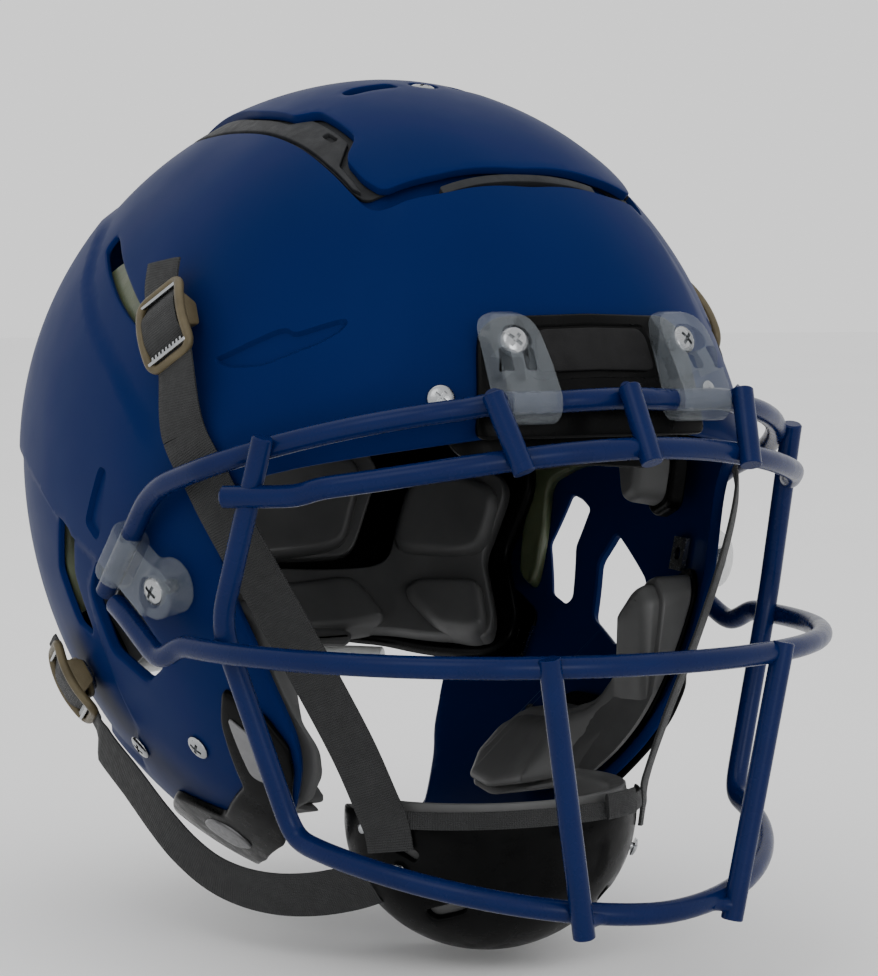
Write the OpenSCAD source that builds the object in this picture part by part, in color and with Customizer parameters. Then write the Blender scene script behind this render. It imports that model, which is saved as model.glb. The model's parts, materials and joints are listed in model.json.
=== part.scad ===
// American football helmet: shell with crown plate, face mask, liner, jaw pads and chin strap.
// Origin at the centre of the wearer's head, +Z up, -Y to the front, +X to the wearer's left.

/* [Shell] */
// Width of the shell across its sides
shell_w = 239; // [236:1:242]
// Length of the shell from the head centre to the brow
front_len = 147; // [145:1:149]
// Length of the shell from the head centre to the back
back_len = 168; // [165:1:171]
// Height of the crown above the head centre
crown_h = 142.4; // [141:0.2:144]
// Depth that the closed egg would reach below the head centre
jaw_depth = 162; // [160:1:164]
// Wall thickness of the shell
wall = 4; // [3.6:0.2:4.4]
// Squareness of the shell in plan: 2 is an ellipse
plan_power = 2.33; // [2.3:0.01:2.36]
// Squareness of the shell in side view
side_power = 1.96; // [1.94:0.01:1.98]

/* [Mask] */
// Diameter of the mask wire
wire_d = 7.6; // [7:0.1:8]
// Running clearance of the brow bar in its clips, on the radius
bar_clearance = 0.08; // [0.05:0.01:0.1]
// Distance from the middle of the helmet to each brow clip
clip_x = 35; // [34.5:0.1:35.5]
// Width of a brow clip
clip_w = 20; // [19:0.5:21]

/* [Chin strap] */
// Width of the webbing
web_w = 17; // [16:0.5:18]
// Thickness of the webbing
web_t = 1.6; // [1.4:0.1:1.8]
// Half width of the chin cup
cup_x = 56; // [54:1:57]
// Distance from the cup's centre to its front
cup_y = 44; // [42:1:45]
// Distance from the cup's centre to its bottom
cup_z = 50; // [48:1:51]

/* [Liner] */
// Depth of the liner pads below the shell
pad_depth = 30; // [26:1:32]
// Depth of the moulded shock layer below the shell
shock_depth = 11; // [10:0.5:12]

/* [Hidden] */

wire_r = wire_d / 2;
shell_blue = [0.03, 0.14, 0.42];
mask_blue = [0.06, 0.14, 0.45];
black = [0.05, 0.05, 0.06];
charcoal = [0.15, 0.16, 0.17];
webbing = [0.27, 0.28, 0.28];
clear = [0.75, 0.78, 0.8, 0.6];
chrome = [0.8, 0.8, 0.82];
olive = [0.27, 0.3, 0.22];
tan_coat = [0.5, 0.43, 0.28];

// ---- the helmet's egg: one closed surface that every layer is offset from ----
function flip(p) = [-p.x, p.y, p.z];
function unit(v) = v / norm(v);
function half_len(y, off) = (y < 0 ? front_len : back_len) + off;
function half_high(z, off) = (z > 0 ? crown_h : jaw_depth) + off;
function plan_level(x, y, off) = pow(pow(abs(x) / (shell_w / 2 + off), plan_power)
    + pow(abs(y) / half_len(y, off), plan_power), 1 / plan_power);
function level(p, off = 0) = pow(pow(plan_level(p.x, p.y, off), side_power)
    + pow(abs(p.z) / half_high(p.z, off), side_power), 1 / side_power);
function look(az, el) = [sin(az) * cos(el), -cos(az) * cos(el), sin(el)];
function skin(az, el, off = 0) = look(az, el) / level(look(az, el), off);
function belt(z, off) = pow(1 - pow(abs(z) / half_high(z, off), side_power), 1 / side_power);
function side_point(y, z, off = 0) = [(shell_w / 2 + off) * pow(pow(belt(z, off), plan_power)
    - pow(abs(y) / half_len(y, off), plan_power), 1 / plan_power), y, z];
function front_point(x, z, off = 0) = [x, -(front_len + off) * pow(pow(belt(z, off), plan_power)
    - pow(abs(x) / (shell_w / 2 + off), plan_power), 1 / plan_power), z];
function top_point(x, y, off = 0) = [x, y, (crown_h + off)
    * pow(1 - pow(plan_level(x, y, off), side_power), 1 / side_power)];
function outward(p, e = 0.01) = unit([level(p + [e, 0, 0]) - level(p - [e, 0, 0]),
    level(p + [0, e, 0]) - level(p - [0, e, 0]), level(p + [0, 0, e]) - level(p - [0, 0, e])]);

module egg(off, n_az = 40, n_el = 20) {
    rings = [for (j = [1:n_el - 1]) for (i = [0:n_az - 1])
        skin(i * 360 / n_az, -90 + j * 180 / n_el, off)];
    south = len(rings);
    function at(i, j) = (j - 1) * n_az + i % n_az;
    polyhedron(points = concat(rings, [skin(0, -90, off), skin(0, 90, off)]), faces = concat(
        [for (i = [0:n_az - 1]) [south, at(i, 1), at(i + 1, 1)]],
        [for (i = [0:n_az - 1]) [south + 1, at(i + 1, n_el - 1), at(i, n_el - 1)]],
        [for (j = [1:n_el - 2]) for (i = [0:n_az - 1]) [at(i, j), at(i, j + 1), at(i + 1, j)]],
        [for (j = [1:n_el - 2]) for (i = [0:n_az - 1])
            [at(i + 1, j), at(i, j + 1), at(i + 1, j + 1)]]));
}

// Zeros in resize leave a size as it is: a moulding is one closed mesh of its cut surfaces.
module moulded() { resize([0, 0, 0]) children(); }
module layer(outer, inner) {
    moulded() intersection() {
        difference() {
            egg(outer);
            egg(inner);
        }
        children();
    }
}
// Prisms that cut an outline out of a layer, drawn in side, front, back and plan view.
module side_prism(outline, x0 = 40, x1 = 150) {
    translate([x0, 0, 0]) rotate([90, 0, 90]) linear_extrude(x1 - x0) polygon(outline);
}
module front_prism(outline) {
    rotate([90, 0, 0]) translate([0, 0, 40]) linear_extrude(180) polygon(outline);
}
module back_prism(outline) {
    translate([0, 200, 0]) rotate([90, 0, 0]) linear_extrude(160) polygon(outline);
}
module plan_prism(outline) { translate([0, 0, 40]) linear_extrude(130) polygon(outline); }
module left_and_right() {
    children();
    mirror([1, 0, 0]) children();
}
function both_sides(half) = concat(half, [for (i = [len(half) - 1:-1:0]) [-half[i].x, half[i].y]]);

// Places children with their +Y along a given direction and their +Z along a given normal.
module face_out(p, n, along = [0, 0, 1]) {
    x = unit(cross(along, n));
    y = cross(n, x);
    multmatrix([[x.x, y.x, n.x, p.x], [x.y, y.y, n.y, p.y], [x.z, y.z, n.z, p.z]]) children();
}
// A bar between two points, as a true cylinder.
module rod(a, b, r) {
    v = b - a;
    translate(a) rotate([0, acos(v.z / norm(v)), atan2(v.y, v.x)])
        cylinder(r = r, h = norm(v), $fn = 48);
}
// A cutter through everything near a point of the shell, square to it there.
module drill(p, r, sides = 24) {
    face_out(p, outward(p)) translate([0, 0, -40]) cylinder(r = r, h = 80, $fn = sides);
}

// ---- sweeps: tubes and webbing along a route ----
module sweep(rings) {
    n = len(rings[0]);
    last = len(rings) - 1;
    polyhedron(points = [for (r = rings) each r], faces = concat(
        [[for (k = [0:n - 1]) k]], [[for (k = [n - 1:-1:0]) last * n + k]],
        [for (i = [0:last - 1]) for (k = [0:n - 1])
            [i * n + k, (i + 1) * n + k, i * n + (k + 1) % n]],
        [for (i = [0:last - 1]) for (k = [0:n - 1])
            [i * n + (k + 1) % n, (i + 1) * n + k, (i + 1) * n + (k + 1) % n]]));
}
function heading(route, i) = unit(route[min(i + 1, len(route) - 1)] - route[max(i - 1, 0)]);
function square_to(v, t) = unit(v - (v * t) * t);
function carried(route, v, i = 0) = i == len(route) ? []
    : let(w = square_to(v, heading(route, i))) concat([w], carried(route, w, i + 1));
module tube(route, r, start = [0, 0, 1], sides = 10) {
    across = carried(route, start);
    sweep([for (i = [0:len(route) - 1]) [for (k = [0:sides - 1])
        route[i] + r * (cos(360 * k / sides) * across[i]
            + sin(360 * k / sides) * cross(heading(route, i), across[i]))]]);
}
module web(route, facing, w = web_w, t = web_t) {
    sweep([for (i = [0:len(route) - 1])
        let(h = heading(route, i), n = square_to(facing[i], h) * t / 2, s = cross(h, n) * w / t)
        [route[i] + s + n, route[i] + s - n, route[i] - s - n, route[i] - s + n]]);
}

// ---- shell ----
shell_x = shell_w / 2;
// Everything below and in front of this edge is open, in side view [y, z]
lower_edge = [[-260, 17], [-141, 16], [-122, 10], [-104, 5.5], [-92, 2.2], [-83.5, -0.6],
    [-76.7, -7], [-73.3, -15], [-72.8, -26], [-75.4, -44], [-79, -60], [-79.5, -82], [-78, -93],
    [-72.5, -104], [-59.8, -118], [-38.7, -132.4], [-9.7, -143], [14, -149], [32.5, -150.6],
    [44.6, -141.5], [60.7, -126], [69.1, -117.5], [77.1, -103.8], [88, -73], [104, -70],
    [150, -78], [260, -80], [260, -260], [-260, -260]];
// Ear opening and the chevron vent behind it, in side view
ear_edge = [[4, -33.5], [13, -46], [8, -68], [-13, -77], [-27, -70.5], [-31, -62], [-21.5, -50],
    [-3, -38]];
vent_edge = [[37, -19.6], [30, -21.5], [24.3, -25], [30.2, -41], [25, -61.8], [28, -64.7],
    [38.4, -61], [46.8, -41]];
// Well that the crown plate floats in, and the plate itself, in plan [x, y]
well_half = [[0, -102.3], [34, -99.5], [53.5, -94], [58.8, -89.6], [60.3, -79.6], [60.9, -62],
    [60.5, -36], [59.4, -8], [58, 29], [56, 44], [44, 82], [30, 98], [0, 100]];
plate_half = [[0, -95], [33, -92.6], [52.3, -88.6], [55.3, -80], [55.2, -68], [47, -61.3],
    [45.6, -33], [51, -25], [48, 8], [42, 40], [36, 76], [26, 90], [0, 92]];
well_floor = -5.2;
vent_hole = [[12, -33.5], [32, -31], [32, -24.5], [26, -22.5], [12, -25.5]];

module crown_well() { plan_prism(both_sides(well_half)); }
module shell() {
    color(shell_blue) resize([shell_w, 0, 0]) difference() {
        union() {
            difference() {
                egg(0);
                egg(-wall);
            }
            intersection() {
                difference() {
                    egg(well_floor);
                    egg(well_floor - wall);
                }
                translate([0, 0, 40]) linear_extrude(130) offset(r = 5)
                    polygon(both_sides(well_half));
            }
        }
        difference() {
            crown_well();
            egg(well_floor);
        }
        side_prism(lower_edge, -200, 200);
        left_and_right() {
            side_prism(ear_edge);
            side_prism(vent_edge);
        }
        drill(crown_screw_at, 3, 16);
    }
}

// ---- crown plate, its gasket and its screw ----
plate_base = -3;
plate_face = 0.5;
crown_screw_at = top_point(0, -30);
module crown_plate() {
    color(shell_blue) moulded() difference() {
        intersection() {
            difference() {
                egg(plate_face);
                egg(plate_base);
            }
            plan_prism(both_sides(plate_half));
        }
        left_and_right() plan_prism(vent_hole);
        drill(crown_screw_at, 5.6, 32);
    }
}
module crown_gasket() {
    color(charcoal) layer(plate_base - 0.4, well_floor + 0.1) difference() {
        translate([0, 0, 40]) linear_extrude(130) offset(delta = -0.8)
            polygon(both_sides(well_half));
        translate([0, 0, 30]) linear_extrude(150) offset(delta = -13)
            polygon(both_sides(plate_half));
    }
}
// A pan-head screw: the head stands on the plane z = 0 and the shank goes down from it.
module pan_screw(head_r, head_h, shank_r, shank_l) {
    rotate_extrude($fn = 48) polygon(concat([[0, -shank_l], [shank_r, -shank_l], [shank_r, 0],
        [head_r, 0]], [for (a = [15:15:75]) [head_r * cos(a), head_h * sin(a)]], [[0, head_h]]));
}
module crossed_screw(head_r, head_h, shank_r, shank_l) {
    difference() {
        pan_screw(head_r, head_h, shank_r, shank_l);
        for (a = [45, 135]) rotate(a) translate([0, 0, head_h])
            cube([head_r * 1.1, head_r * 0.24, head_h * 1.1], center = true);
    }
}
module crown_screw() {
    n = outward(crown_screw_at);
    color(chrome) face_out(crown_screw_at - 1.2 * n, n, [0, 1, 0])
        crossed_screw(4.6, 2, 2.4, 10);
}

// ---- brow: bumper, panel, clips and screws ----
bumper_half = [[0, 56.5], [34, 55.5], [40.5, 51], [42.5, 44], [46.5, 15], [0, 15.5]];
module front_bumper() {
    color(black) moulded() difference() {
        intersection() {
            difference() {
                egg(3.4);
                egg(0.3);
            }
            front_prism(both_sides(bumper_half));
        }
        left_and_right() drill(clip_seat(0), 3.4);
    }
}
module name_panel() {
    color(charcoal) layer(4.4, 3.6)
        front_prism(both_sides([[0, 51.5], [19, 51], [22, 48.5], [23.5, 37], [0, 38]]));
}
brow_screw_at = front_point(55.5, 29);
module brow_screws() {
    n = outward(brow_screw_at);
    color(chrome) left_and_right()
        face_out(brow_screw_at + 0.3 * n, n) crossed_screw(4.7, 2, 2.2, 10);
}
// The brow bar's journal in each clip, and the clip's screw
journal = [clip_x, -153.4, 28.2];
clip_screw = [32.7, 44.9];
function clip_seat(off) = front_point(clip_screw.x, clip_screw.y, off);
module upper_clip() {
    n = outward(clip_seat(0));
    color(clear) difference() {
        intersection() {
            translate([clip_x - clip_w / 2, 0, 0]) rotate([90, 0, 90]) linear_extrude(clip_w) {
                translate([journal.y, journal.z]) circle(r = wire_r + 3.8, $fn = 64);
                polygon([[journal.y + 7, journal.z + 2.6], [-140.6, 44.5], [-137, 52], [-135.2, 58.2],
                    [-140.2, 58.2], [-147.8, 50], [-153.4, 42], [journal.y - 7.2, journal.z + 2]]);
            }
            rotate([90, 0, 0]) linear_extrude(200) union() {
                translate([clip_x, 47.6]) circle(r = clip_w / 2, $fn = 64);
                translate([clip_x - clip_w / 2, 18]) square([clip_w, 29.6]);
            }
        }
        translate([clip_x - clip_w, journal.y, journal.z]) rotate([0, 90, 0])
            cylinder(r = wire_r + bar_clearance, h = 2 * clip_w, $fn = 64);
        rod(clip_seat(0) - 4 * n, clip_seat(0) + 30 * n, 2.7);
        rod(clip_seat(0) + 10.2 * n, clip_seat(0) + 40 * n, 5.3);
    }
}
module upper_clip_left() { upper_clip(); }
module upper_clip_right() { mirror([1, 0, 0]) upper_clip(); }
module upper_clip_screws() {
    color(chrome) left_and_right() face_out(clip_seat(0) + 10.4 * outward(clip_seat(0)),
        outward(clip_seat(0))) crossed_screw(4.9, 2.4, 2.4, 20);
}

// ---- side clips: each holds the top bar's end and is screwed to the shell ----
bar_end = [121.8, -14.5, -43.5];
bar_knee = [122.2, -43, -13];
side_seat = side_point(-50, -37.5);
side_n = outward(side_seat);
side_lift = 0.9;
loop_at = bar_knee + (bar_end - bar_knee) * 0.52;
module side_clip() {
    along = unit(bar_end - bar_knee);
    screw = side_seat + side_lift * side_n;
    top = side_seat + 12.5 * side_n;
    arm = unit([0, loop_at.y - top.y, loop_at.z - top.z]);
    wide = [0, -arm.z, arm.y];
    ends = [top + 10.5 * wide, top - 10.5 * wide, loop_at - 9.5 * wide, loop_at + 9.5 * wide];
    color(clear) difference() {
        union() {
            rod(loop_at - 11 * along, loop_at + 11 * along, wire_r + 3.6);
            rod(screw, top, 10.4);
            translate([117.6, 0, 0]) rotate([90, 0, 90]) linear_extrude(7.6)
                polygon([for (p = ends) [p.y, p.z]]);
        }
        translate([100, -39.5, -80]) cube([17.6, 60, 80]);
        rod(bar_knee, bar_end + 10 * along, wire_r + 0.06);
        rod(screw - 5 * side_n, top + 10 * side_n, 2.7);
        rod(top - 2.2 * side_n, top + 10 * side_n, 5.4);
    }
}
module side_clip_left() { side_clip(); }
module side_clip_right() { mirror([1, 0, 0]) side_clip(); }
module side_clip_screws() {
    color(chrome) left_and_right() face_out(side_seat + 10.5 * side_n, side_n)
        crossed_screw(5, 2.4, 2.4, 9.5);
}

// ---- face mask: welded wires ----
// A wire that wraps the face: plan superellipse, with its height a parabola in its depth
function wrap(half_w, deep, front, power, z0, z1, z2, turn, steps) = [for (i = [0:steps])
    let(t = turn * i / steps, y = front + deep * (1 - pow(cos(t), 2 / power)),
        u = (y - front) / 100)
    [half_w * pow(sin(t), 2 / power), y, z0 + z1 * u + z2 * u * u]];
function mirrored(half) = concat([for (i = [len(half) - 1:-1:1]) flip(half[i])], half);
function from_x(route, x) = [for (p = route) if (p.x > x) p];
function up_to_x(route, x) = [for (p = route) if (p.x < x) p];

brow_wrap = wrap(129.2, 138.2, -157.4, 2.234, 29.2, -31.4, -1.7, 66, 16);
eye_wrap = wrap(135.6, 132.8, -170.6, 1.95, 13, -39.7, 23, 64, 16);
mid_wrap = wrap(121.5, 121, -193, 2.05, -56.4, 0, 0, 89, 16);
chin_wrap = wrap(93.5, 89.9, -185, 1.77, -141.2, 28.4, -5.2, 87, 14);
journal_half = clip_w / 2 + 2;
top_middle = [[0, -157, 29.2], [11, -156.6, 28.9], [18, -155, 28.5],
    [clip_x - journal_half - 1, journal.y, journal.z],
    [clip_x - journal_half + 1.5, journal.y, journal.z]];
top_side = concat([[clip_x + journal_half - 1.5, journal.y, journal.z],
    [clip_x + journal_half + 1, journal.y, journal.z]],
    from_x(brow_wrap, clip_x + journal_half + 6),
    [[122.3, -62, -1.5], [122.6, -53, -5], [122.5, -47.5, -8.8], bar_knee, bar_end]);
eye_route = concat(up_to_x(eye_wrap, 100), [[103, -119.6, -3], [119.7, -97.8, -4]]);
mid_route = concat(up_to_x(mid_wrap, 121.3), [[122, -72.5, -56.2], [122.5, -64, -60.5],
    [122.8, -58.3, -62.3], [122.7, -52, -60], [122.4, -32, -50], [121.9, -22.5, -46.5]]);
leg_foot = [93.4, -100.7, -120.7];
leg_knee = [116.4, -90.5, -48];
leg_top = [111, -110, 16.4];
lower_route = concat(up_to_x(chin_wrap, 92), [leg_foot, leg_foot + 0.06 * (leg_knee - leg_foot),
    leg_knee - 0.03 * (leg_knee - leg_foot), leg_knee + 0.03 * (leg_top - leg_knee), leg_top]);

module top_bar() {
    color(mask_blue) {
        tube(mirrored(top_middle), wire_r - 0.1);
        left_and_right() {
            tube(top_side, wire_r - 0.1);
            translate([clip_x - journal_half, journal.y, journal.z])
                rotate([0, 90, 0]) cylinder(r = wire_r, h = 2 * journal_half, $fn = 64);
        }
    }
}
module eye_bar() { color(mask_blue) tube(mirrored(eye_route), wire_r); }
module mid_bar() { color(mask_blue) tube(mirrored(mid_route), wire_r); }
module lower_bar() { color(mask_blue) tube(mirrored(lower_route), wire_r, [0, 1, 0]); }
module front_bars() {
    color(mask_blue) left_and_right() rod([47.9, -187, -53], [30.3, -183, -147], wire_r);
}
module brow_bars() {
    color(mask_blue) {
        rod([0, -162.5, 33.4], [0, -176.3, 8.4], wire_r);
        left_and_right() rod([51.4, -157.6, 31.4], [46.4, -169.6, 6], wire_r);
    }
}

// ---- jaw guards, badges, screws, nuts ----
guard_edge = [[-59.9, -73], [-73, -82], [-75.5, -93], [-71, -103], [-58, -118.6], [-38.7, -133.4],
    [-9.7, -144.4], [14, -150.6], [34, -152.4], [46.5, -142], [50.5, -135.5], [14.4, -121.5],
    [-17.3, -125], [-44.6, -110.3], [-52.4, -85.5]];
module jaw_guard() { color(black) layer(3, 0.2) side_prism(guard_edge); }
module jaw_guard_left() { jaw_guard(); }
module jaw_guard_right() { mirror([1, 0, 0]) jaw_guard(); }
module jaw_badges() {
    color(webbing) {
        left_and_right() layer(3.9, 3.1)
            side_prism([[-58, -82], [-66, -90], [-62, -108], [-54, -104]]);
        left_and_right() layer(3.9, 3.1)
            side_prism([[8, -131], [0, -139], [-18, -137], [-16, -129], [-4, -127]]);
    }
}
jaw_screw_at = [[-28.8, -99], [23.4, -105.9]];
module jaw_screws() {
    color(chrome) left_and_right() for (q = jaw_screw_at) {
        p = side_point(q.x, q.y);
        face_out(p + 0.3 * outward(p), outward(p)) crossed_screw(4.8, 1.6, 2.2, 5.5);
    }
}
upper_stud = side_point(-44.4, 50.1);
lower_stud = side_point(45.5, -80.7);
module nut_plate(p) {
    face_out(p - (wall + 2.2) * outward(p), outward(p)) difference() {
        translate([-5.5, -6.5, -1]) cube([11, 13, 1.8]);
        translate([0, 0, -3]) cylinder(r = 2.55, h = 6, $fn = 32);
    }
}
module t_nuts() {
    color(chrome) left_and_right() {
        nut_plate(clip_seat(0));
        nut_plate(side_seat);
        nut_plate(lower_stud);
    }
}

// ---- chin strap: studs, buckles, webbing, cup ----
module stud(p, shank) {
    face_out(p, outward(p)) {
        translate([0, 0, -0.6]) cylinder(r = 6, h = 1.6, $fn = 48);
        cylinder(r = 4, h = 3.4, $fn = 48);
        translate([0, 0, -shank]) cylinder(r = 2.2, h = shank, $fn = 48);
    }
}
module strap_studs() {
    color(chrome) left_and_right() {
        stud(upper_stud, wall + 0.3);
        stud(lower_stud, wall + 4.4);
    }
}
upper_lie = unit([3.4, -18.6, -25]);
lower_lie = unit([-6, -12, -26]);
buckle_w = 23;
buckle_l = 32;
// A ladder buckle on its snap socket, standing on the stud's axis: the webbing runs over the
// socket, between the cheeks and under the frame
web_lift = 5.3;
module buckle() {
    color(tan_coat) difference() {
        union() {
            translate([-buckle_w / 2, -buckle_l / 2, 6.5]) cube([buckle_w, buckle_l, 2.6]);
            translate([-buckle_w / 2, -8, 1.3]) cube([buckle_w, 16, 5.4]);
        }
        translate([-web_w / 2 - 0.5, -20, 4.1]) cube([web_w + 1, 40, 2.4]);
        translate([-web_w / 2 - 0.5, -buckle_l / 2 + 3.5, 4.2]) cube([web_w + 1, buckle_l - 7, 9]);
        translate([0, 0, -1]) cylinder(r = 4.06, h = 4.6, $fn = 48);
    }
    color(chrome) translate([-buckle_w / 2 + 1, 3, 7.9]) rotate([0, 90, 0])
        cylinder(r = 1.3, h = buckle_w - 2, $fn = 32);
}
function under_buckle(stud, lie, s) = stud + web_lift * outward(stud)
    + s * square_to(lie, outward(stud));
module upper_buckle() { face_out(upper_stud, outward(upper_stud), upper_lie) buckle(); }
module lower_buckle() { face_out(lower_stud, outward(lower_stud), lower_lie) buckle(); }
module upper_buckle_left() { upper_buckle(); }
module upper_buckle_right() { mirror([1, 0, 0]) upper_buckle(); }
module lower_buckle_left() { lower_buckle(); }
module lower_buckle_right() { mirror([1, 0, 0]) lower_buckle(); }

// Routes of the webbing on the wearer's left, with the direction that its face looks in
upper_hold = [for (d = [-18, -6, 6, 18]) under_buckle(upper_stud, upper_lie, d)];
upper_route = concat([[107.6, -32, 74.5]], upper_hold, [[116.2, -62.6, 16.5],
    [112.6, -73.2, 0], [109, -79.6, -12], [99, -85.5, -33], [84, -90.5, -61], [67, -93.5, -92],
    [56, -94, -113], [53.2, -96.5, -121.5]]);
upper_face = [for (i = [0:12]) i < 6 ? outward(upper_route[i])
    : unit([0.9, -0.42 - 0.02 * i, 0.2])];
lower_hold = [for (d = [-18, -6, 6, 18]) under_buckle(lower_stud, lower_lie, d)];
lower_web = concat(lower_hold, [[100.5, 31, -105], [97, 14, -117.5], [93, -1, -130],
    [88, -11, -139.5], [82, -21, -146.8], [75.5, -32, -150.8], [68.5, -44.5, -152],
    [61, -57.5, -150.6], [54, -70, -147.2], [49.5, -79, -143.5]]);
lower_face = [for (i = [0:13]) i < 4 ? outward(lower_web[i])
    : unit([0.93, 0.25 - 0.04 * i, -0.34])];
module upper_strap() { color(webbing) web(upper_route, upper_face); }
module lower_strap() { color(webbing) web(lower_web, lower_face); }
module upper_strap_left() { upper_strap(); }
module upper_strap_right() { mirror([1, 0, 0]) upper_strap(); }
module lower_strap_left() { lower_strap(); }
module lower_strap_right() { mirror([1, 0, 0]) lower_strap(); }

cup_at = [0, -80, -122];
module cup_egg(off) {
    translate(cup_at) scale([cup_x + off, cup_y + off, cup_z + off]) sphere(r = 1, $fn = 36);
}
module cup_cut(rim, back) {
    translate([-80, -200, rim]) cube([160, 300, 100]);
    translate([-80, back, -200]) cube([160, 100, 200]);
}
module chin_cup() {
    color(black) moulded() difference() {
        cup_egg(0);
        cup_egg(-3);
        cup_cut(-117.5, -63);
    }
}
module cup_pad() {
    color(charcoal) moulded() difference() {
        cup_egg(-3.2);
        cup_egg(-10);
        cup_cut(-114.5, -58.5);
    }
}
module cup_band() {
    color(webbing) moulded() difference() {
        cup_egg(1.9);
        cup_egg(0.3);
        cup_cut(-114, -75);
        translate([-80, -200, -330]) cube([160, 300, 200]);
    }
}
module cup_rivets() {
    color(chrome) left_and_right() {
        rod([43, -96, -147], [38.5, -93.4, -143.6], 3.2);
        translate([55.4, -84, -121]) rotate([0, 90, 0]) cylinder(r = 4, h = 4, $fn = 48);
    }
}

// ---- jaw pads ----
jaw_pad_edge = [[-56, -45], [-66, -42], [-74, -50], [-74, -96], [-68, -106], [-55, -118],
    [-36, -129], [-8, -137], [22, -137], [36, -122], [20, -104], [-2, -98], [-22, -98],
    [-40, -92], [-46, -80], [-46, -56]];
jaw_pad_face = 69;
module jaw_pad() {
    color(charcoal) moulded() difference() {
        layer(-7, -pad_depth) side_prism(jaw_pad_edge, 20, 140);
        // a flat face beside the chin cup
        translate([0, -100, -160]) cube([jaw_pad_face, 58, 160]);
    }
}
module jaw_pad_left() { jaw_pad(); }
module jaw_pad_right() { mirror([1, 0, 0]) jaw_pad(); }
module jaw_pad_backs() {
    color(black) left_and_right() layer(-4.4, -6.6) difference() {
        side_prism(jaw_pad_edge, 40, 140);
        for (q = jaw_screw_at) drill(side_point(q.x, q.y), 4);
    }
}

// ---- liner ----
module front_pad() {
    color(charcoal) layer(-shock_depth - 0.4, -pad_depth)
        front_prism(both_sides([[0, 58], [40, 56], [56, 44], [52, 12], [36, 3], [0, 6]]));
}
side_pad_edge = [[-62, 24], [-52, 66], [18, 74], [34, 20], [20, 4], [-30, 2], [-38, -20],
    [-46, -26], [-62, -20], [-67, 0]];
module side_pad() {
    color(charcoal) layer(-shock_depth - 0.4, -pad_depth) side_prism(side_pad_edge);
}
module side_pad_left() { side_pad(); }
module side_pad_right() { mirror([1, 0, 0]) side_pad(); }
// Back pads, which reach round the sides to just behind the ear openings
back_pad_edge = [[44, -12], [60, 42], [100, 52], [180, 52], [180, -74.5], [90, -74.5], [84, -79],
    [42, -80], [36, -76], [37, -66], [52, -43]];
module back_pad() {
    color(charcoal) layer(-shock_depth - 0.4, -pad_depth) side_prism(back_pad_edge, 2, 140);
}
module back_pad_left() { back_pad(); }
module back_pad_right() { mirror([1, 0, 0]) back_pad(); }
module nape_pad() {
    color(charcoal) layer(-6, -pad_depth)
        back_prism(both_sides([[0, -75.5], [40, -75.5], [47, -78], [43, -84], [0, -83.6]]));
}
module crown_pad() {
    color(charcoal) layer(-shock_depth - 0.4, -pad_depth) difference() {
        plan_prism(both_sides([[0, -78], [32, -70], [48, -30], [50, 30], [34, 74], [0, 84]]));
        drill(crown_screw_at, 7);
    }
}
module shock_layer_side() {
    color(olive) layer(-wall - 0.5, -shock_depth)
        side_prism([[-64, 24], [-54, 70], [22, 78], [60, 60], [66, 10], [58, -56], [50, -62],
            [50, -16], [30, -8], [-34, 0]]);
}
module shock_layer_left() { shock_layer_side(); }
module shock_layer_right() { mirror([1, 0, 0]) shock_layer_side(); }
module shock_layer_front() {
    color(olive) moulded() difference() {
        layer(-wall - 0.5, -shock_depth)
            front_prism(both_sides([[0, 62], [44, 60], [66, 46], [74, 14], [0, 18]]));
        left_and_right() drill(clip_seat(0), 10);
        left_and_right() drill(brow_screw_at, 4);
    }
}
module rear_band() {
    color(black) layer(-wall - 0.4, -5.9) difference() {
        back_prism(both_sides([[0, -40], [70, -44], [96, -58], [104, -74], [100, -96], [84, -94],
            [70, -78], [0, -78]]));
        translate([-150, -60, -200]) cube([300, 98, 400]);
        left_and_right() drill(lower_stud, 9);
    }
}
// Inflation tube of the liner, level round the rear just under the nape pad
function level_ring(az, z, off) = let(d = [sin(az), -cos(az)],
    r = belt(z, off) / plan_level(d.x, d.y, off)) [d.x * r, d.y * r, z];
tube_z = -87.8;
tube_half = [for (i = [0:8]) level_ring(180 - i * 4, tube_z, -14)];
module air_tube() {
    color([0.85, 0.86, 0.85]) tube(mirrored(tube_half), 3.4, [0, 0, 1], 8);
}
module rear_bumper() {
    color(black) layer(2.4, 0.2)
        back_prism(both_sides([[0, -68], [70, -66], [72, -78], [0, -79]]));
}

shell();
crown_plate();
crown_gasket();
crown_screw();
front_bumper();
name_panel();
brow_screws();
upper_clip_left();
upper_clip_right();
upper_clip_screws();
side_clip_left();
side_clip_right();
side_clip_screws();
t_nuts();
top_bar();
eye_bar();
mid_bar();
lower_bar();
front_bars();
brow_bars();
jaw_guard_left();
jaw_guard_right();
jaw_badges();
jaw_screws();
strap_studs();
upper_buckle_left();
upper_buckle_right();
lower_buckle_left();
lower_buckle_right();
upper_strap_left();
upper_strap_right();
lower_strap_left();
lower_strap_right();
chin_cup();
cup_pad();
cup_band();
cup_rivets();
jaw_pad_left();
jaw_pad_right();
jaw_pad_backs();
front_pad();
side_pad_left();
side_pad_right();
back_pad_left();
back_pad_right();
nape_pad();
crown_pad();
shock_layer_left();
shock_layer_right();
shock_layer_front();
rear_band();
air_tube();
rear_bumper();
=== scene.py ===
"""American football helmet: the visual pieces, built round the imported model's bodies.

Shapes are worked out in millimetres in the model's own frame and scaled to metres as each mesh is made.
"""

import json
import math

import bpy
import numpy as np
from mathutils import Matrix, Vector
from mathutils.geometry import delaunay_2d_cdt

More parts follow.
